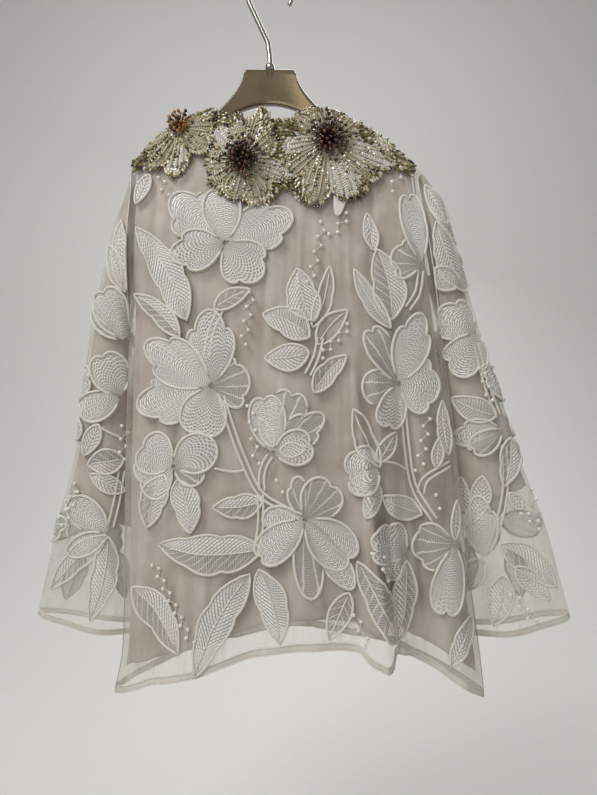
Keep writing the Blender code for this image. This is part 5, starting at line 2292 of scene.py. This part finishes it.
@dataclass
class Hanger:
    """The smoky hanger, its ferrule and its hook."""

    finishes: Finishes
    body: BodyForm
    thick: float = 12.0
    edge: float = 3.2
    half: float = 149.0
    seat: float = 5.0
    top: float = -114.0
    neck: float = 28.0
    shoulder: tuple = (31.0, -118.0)
    arch: tuple = (47.0, -155.2, 14.4)
    arm: tuple = (20.0, 16.0)
    wire: float = 3.0
    crook: float = 26.3
    bend: tuple = (-2.4, -80.4)
    ferrule: tuple = (-105.6, 5.4, 3.9, 9.6)
    frame: object = None

    def seat_at(self, x: float) -> float:
        """Height of the arm's top under the shoulder seam."""
        front = Side.FRONT
        lower = min(self.body.top_line(abs(x), front), self.body.top_line(-abs(x), front))
        return lower - self.seat

    def under(self, x: float) -> float:
        """Height of the frame's lower edge: the arch, then the arm."""
        neck_x, (span, crown, fall) = self.body.neck_half, self.arch
        if x <= span:
            return crown - fall * (x / span) ** 2
        if x < neck_x:
            root = self.seat_at(neck_x) - self.arm[0]
            return blend(crown - fall, root, (x - span) / (neck_x - span))
        share = (self.half - x) / (self.half - neck_x)
        return self.seat_at(x) - blend(self.arm[1], self.arm[0], share)

    def sections(self) -> list:
        """Sections of the right half: x, top, bottom and half thickness."""
        neck_x, deep = self.body.neck_half, self.thick / 2
        tops = [(self.neck * i / 8, self.top) for i in range(9)]
        for i in range(17):
            x = blend(self.shoulder[0], neck_x, (i / 16) ** 1.6)
            tops.append((x, blend(self.shoulder[1], self.seat_at(neck_x), i / 16)))
        for i in range(1, 25):
            x = blend(neck_x, self.half, i / 24)
            tops.append((x, self.seat_at(x)))
        found = [(x, top, self.under(x), deep) for x, top in tops]
        radius = self.arm[1] / 2
        tip = self.seat_at(self.half) - radius
        for i in range(1, 9):
            turn = pi / 16 * i
            high = radius * cos(turn)
            slim = deep - self.edge * (1 - cos(turn))
            x = self.half + radius * 0.9 * sin(turn)
            found.append((x, tip + high, tip - high, slim))
        return found

    def build(self) -> None:
        """Make the frame, the ferrule and the hook."""
        half = self.sections()
        route = [(-row[0], *row[1:]) for row in reversed(half[1:])] + half

        def at(across: float, down: float) -> tuple:
            """Point and UV of the frame at shares round and along it."""
            x, top, bottom, deep = route[round(down * (len(route) - 1))]
            corner, step = divmod(round(across * 20) % 20, 5)
            turn = radians(90 * corner + 22.5 * step)
            edge = min(self.edge, (top - bottom) / 2)
            y = (deep - edge) * (1 if corner in (0, 3) else -1) + edge * cos(turn)
            z = (top - edge if corner < 2 else bottom + edge) + edge * sin(turn)
            return Vector((x, y, z)), (across * 60, x)

        bm = bmesh.new()
        sheet_grid(bm, 20, len(route) - 1, at, closed=True)
        seal(bm)
        for face in bm.faces:
            face.smooth = abs(face.normal.y) < 0.995
        self.frame = add_piece(
            "smoky_hanger", bm, (self.finishes.acrylic,), "acrylic", smooth=False,
            replaces=("hanger_frame",),
        )
        self.build_ferrule()
        self.build_hook()

    def build_ferrule(self) -> None:
        """Turn the ferrule and its insert."""
        top, wide, slim, deep = self.ferrule
        foot = self.top + 0.3
        profile = (
            (0.0, foot - deep), (slim, foot - deep), (slim, foot), (wide - 0.5, foot),
            (wide, foot + 0.6), (wide, top - 2.6), (wide - 0.7, top - 0.8),
            (wide - 1.9, top), (0.0, top),
        )
        bm = bmesh.new()
        verts = [bm.verts.new((r * MM, 0, z * MM)) for r, z in profile]
        edges = [bm.edges.new(pair) for pair in zip(verts, verts[1:])]
        bmesh.ops.spin(
            bm, geom=verts + edges, axis=(0, 0, 1), cent=(0, 0, 0), steps=36,
            angle=2 * pi, use_merge=True,
        )
        seal(bm, 1e-6)
        piece = add_piece(
            "turned_ferrule", bm, (self.finishes.steel,), "steel",
            replaces=("hanger_ferrule",),
        )
        piece.data.set_sharp_from_angle(angle=radians(40))

    def build_hook(self) -> None:
        """Bend the hook's wire."""
        centre_z = self.wire - self.crook
        bend = Vector((self.bend[0], 0, self.bend[1]))
        reach = hypot(bend.x, bend.z - centre_z)
        to_bend = atan2(bend.z - centre_z, bend.x)
        start = to_bend - acos(self.crook / reach) + 2 * pi
        first = Vector((cos(start), 0, sin(start))) * self.crook
        first.z += centre_z
        marks = [(0, self.ferrule[0] - 2), (0, -100), (-0.6, -94), (-1.6, -87)]
        route = [Vector((x, 0, z)) for x, z in smooth_line(marks + [tuple(bend.xz)], 4)]
        route += [bend.lerp(first, i / 10) for i in range(1, 10)]
        for i in range(61):
            angle = blend(start, radians(-28), i / 60)
            point = Vector((cos(angle), 0, sin(angle))) * self.crook
            point.z += centre_z
            route.append(point)
        ends = []
        for near, far in ((route[0], route[1]), (route[-1], route[-2])):
            way = (far - near).normalized()
            ends.append([near + way * step for step in (0, 0.12, 0.4, 0.8)])
        route = ends[0] + route[1:-1] + ends[1][::-1]
        bm = bmesh.new()
        tube(bm, route, self.wire, 20, tip=0.8)
        seal(bm, SNAP)
        add_piece(
            "bent_hook", bm, (self.finishes.steel,), "steel", replaces=("hanger_hook",)
        )


@dataclass
class Studio:
    """Floor, backdrop, lights and camera."""

    floor_z: float = -1.3
    wall_y: float = 2.3
    size: float = 30.0
    eye: tuple = (0.0342, -0.8, -0.5058)
    view_width: float = 0.954

    def build(self) -> None:
        """Set the stage, the lights and the camera."""
        bm = bmesh.new()
        bmesh.ops.create_grid(bm, x_segments=1, y_segments=1, size=self.size / 2)
        bmesh.ops.translate(bm, verts=bm.verts, vec=(0, self.wall_y - self.size / 2, 0))
        back = [e for e in bm.edges if all(v.co.y > self.wall_y - 0.01 for v in e.verts)]
        grown = bmesh.ops.extrude_edge_only(bm, edges=back)["geom"]
        raised = [item for item in grown if isinstance(item, BMVert)]
        bmesh.ops.translate(bm, verts=raised, vec=(0, 0, 6.0))
        bmesh.ops.bevel(
            bm, geom=back, offset=1.2, segments=16, profile=0.5, affect="EDGES", material=-1
        )
        bmesh.ops.translate(bm, verts=bm.verts, vec=(0, 0, self.floor_z))
        seal(bm)
        paint = Plaster("studio_paint").make()
        set_out("studio_sweep", to_mesh("studio_sweep", bm, (paint,), True))
        self.light("key", (-1.05, -1.45, 1.05), (0.0, 0.0, -0.42), 1.0, 31.0)
        self.light("fill", (1.6, -1.5, -0.1), (0.05, 0.0, -0.5), 1.6, 2.5)
        self.light("back", (0.5, 1.5, 1.0), (0.0, 0.0, -0.5), 1.2, 19.0)
        self.light("wash", (0.0, 0.9, 0.6), (0.0, 2.3, -0.3), 2.0, 8.0)
        world = bpy.data.worlds.new("studio_air")
        world.use_nodes = True
        shade = world.node_tree.nodes["Background"].inputs
        shade["Color"].default_value = (1.0, 0.99, 0.97, 1.0)
        shade["Strength"].default_value = 0.25
        bpy.context.scene.world = world
        self.camera()

    @staticmethod
    def light(name: str, place: tuple, aim: tuple, size: float, power: float) -> None:
        """Hang a square soft light that faces a point.

        Args:
            name: The light's name.
            place: Where it hangs, in metres.
            aim: The point it faces.
            size: Its side in metres.
            power: Its power in watts.
        """
        lamp = bpy.data.lights.new(name, "AREA")
        lamp.size, lamp.energy = size, power
        made = set_out(name, lamp)
        made.visible_camera = False
        made.location = place
        way = Vector(aim) - Vector(place)
        made.rotation_euler = way.to_track_quat("-Z", "Y").to_euler()

    def camera(self) -> None:
        """Set the camera straight on, at the photograph's distance."""
        lens = bpy.data.cameras.new("camera")
        lens.sensor_width = 36.0
        lens.lens = 36 * -self.eye[1] / self.view_width
        lens.clip_start = 0.02
        made = set_out("camera", lens)
        made.location = self.eye
        made.rotation_euler = (radians(90), 0, 0)
        bpy.context.scene.camera = made
        bpy.context.scene.view_settings.view_transform = "Standard"


def main() -> None:
    """Build every sub-assembly in order and report it."""
    logging.basicConfig(level=logging.INFO, format="%(message)s")
    look = make_finishes()
    body = BodyForm()
    hanger = Hanger(look, body)
    hanger.build()
    bodice = Bodice(look, body=body)
    bodice.build()
    bodice.embroider()
    left = Sleeve(look, body=body)
    right = Sleeve(
        look, body=body, name="right", rows=SLEEVE_RIGHT, across=1.0, lining_end=0.69
    )
    left.build()
    left.embroider(LEFT_BLOOMS, LEFT_LEAVES, LEFT_STEMS, LEFT_SPRIGS)
    right.build()
    right.embroider(RIGHT_BLOOMS, RIGHT_LEAVES, RIGHT_STEMS, RIGHT_SPRIGS)
    collar = Collar(look, body=body)
    collar.build()
    Studio().build()
    declare(bodice, left, right, collar)


def declare(
    bodice: Bodice, left: Sleeve, right: Sleeve, collar: Collar
) -> None:
    """Run through the sewn pieces of the bodice, the collar and both sleeves."""
    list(bodice.sewn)
    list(collar.sewn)
    for sleeve in (left, right):
        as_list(sleeve.sewn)


if __name__ == "__main__":
    main()
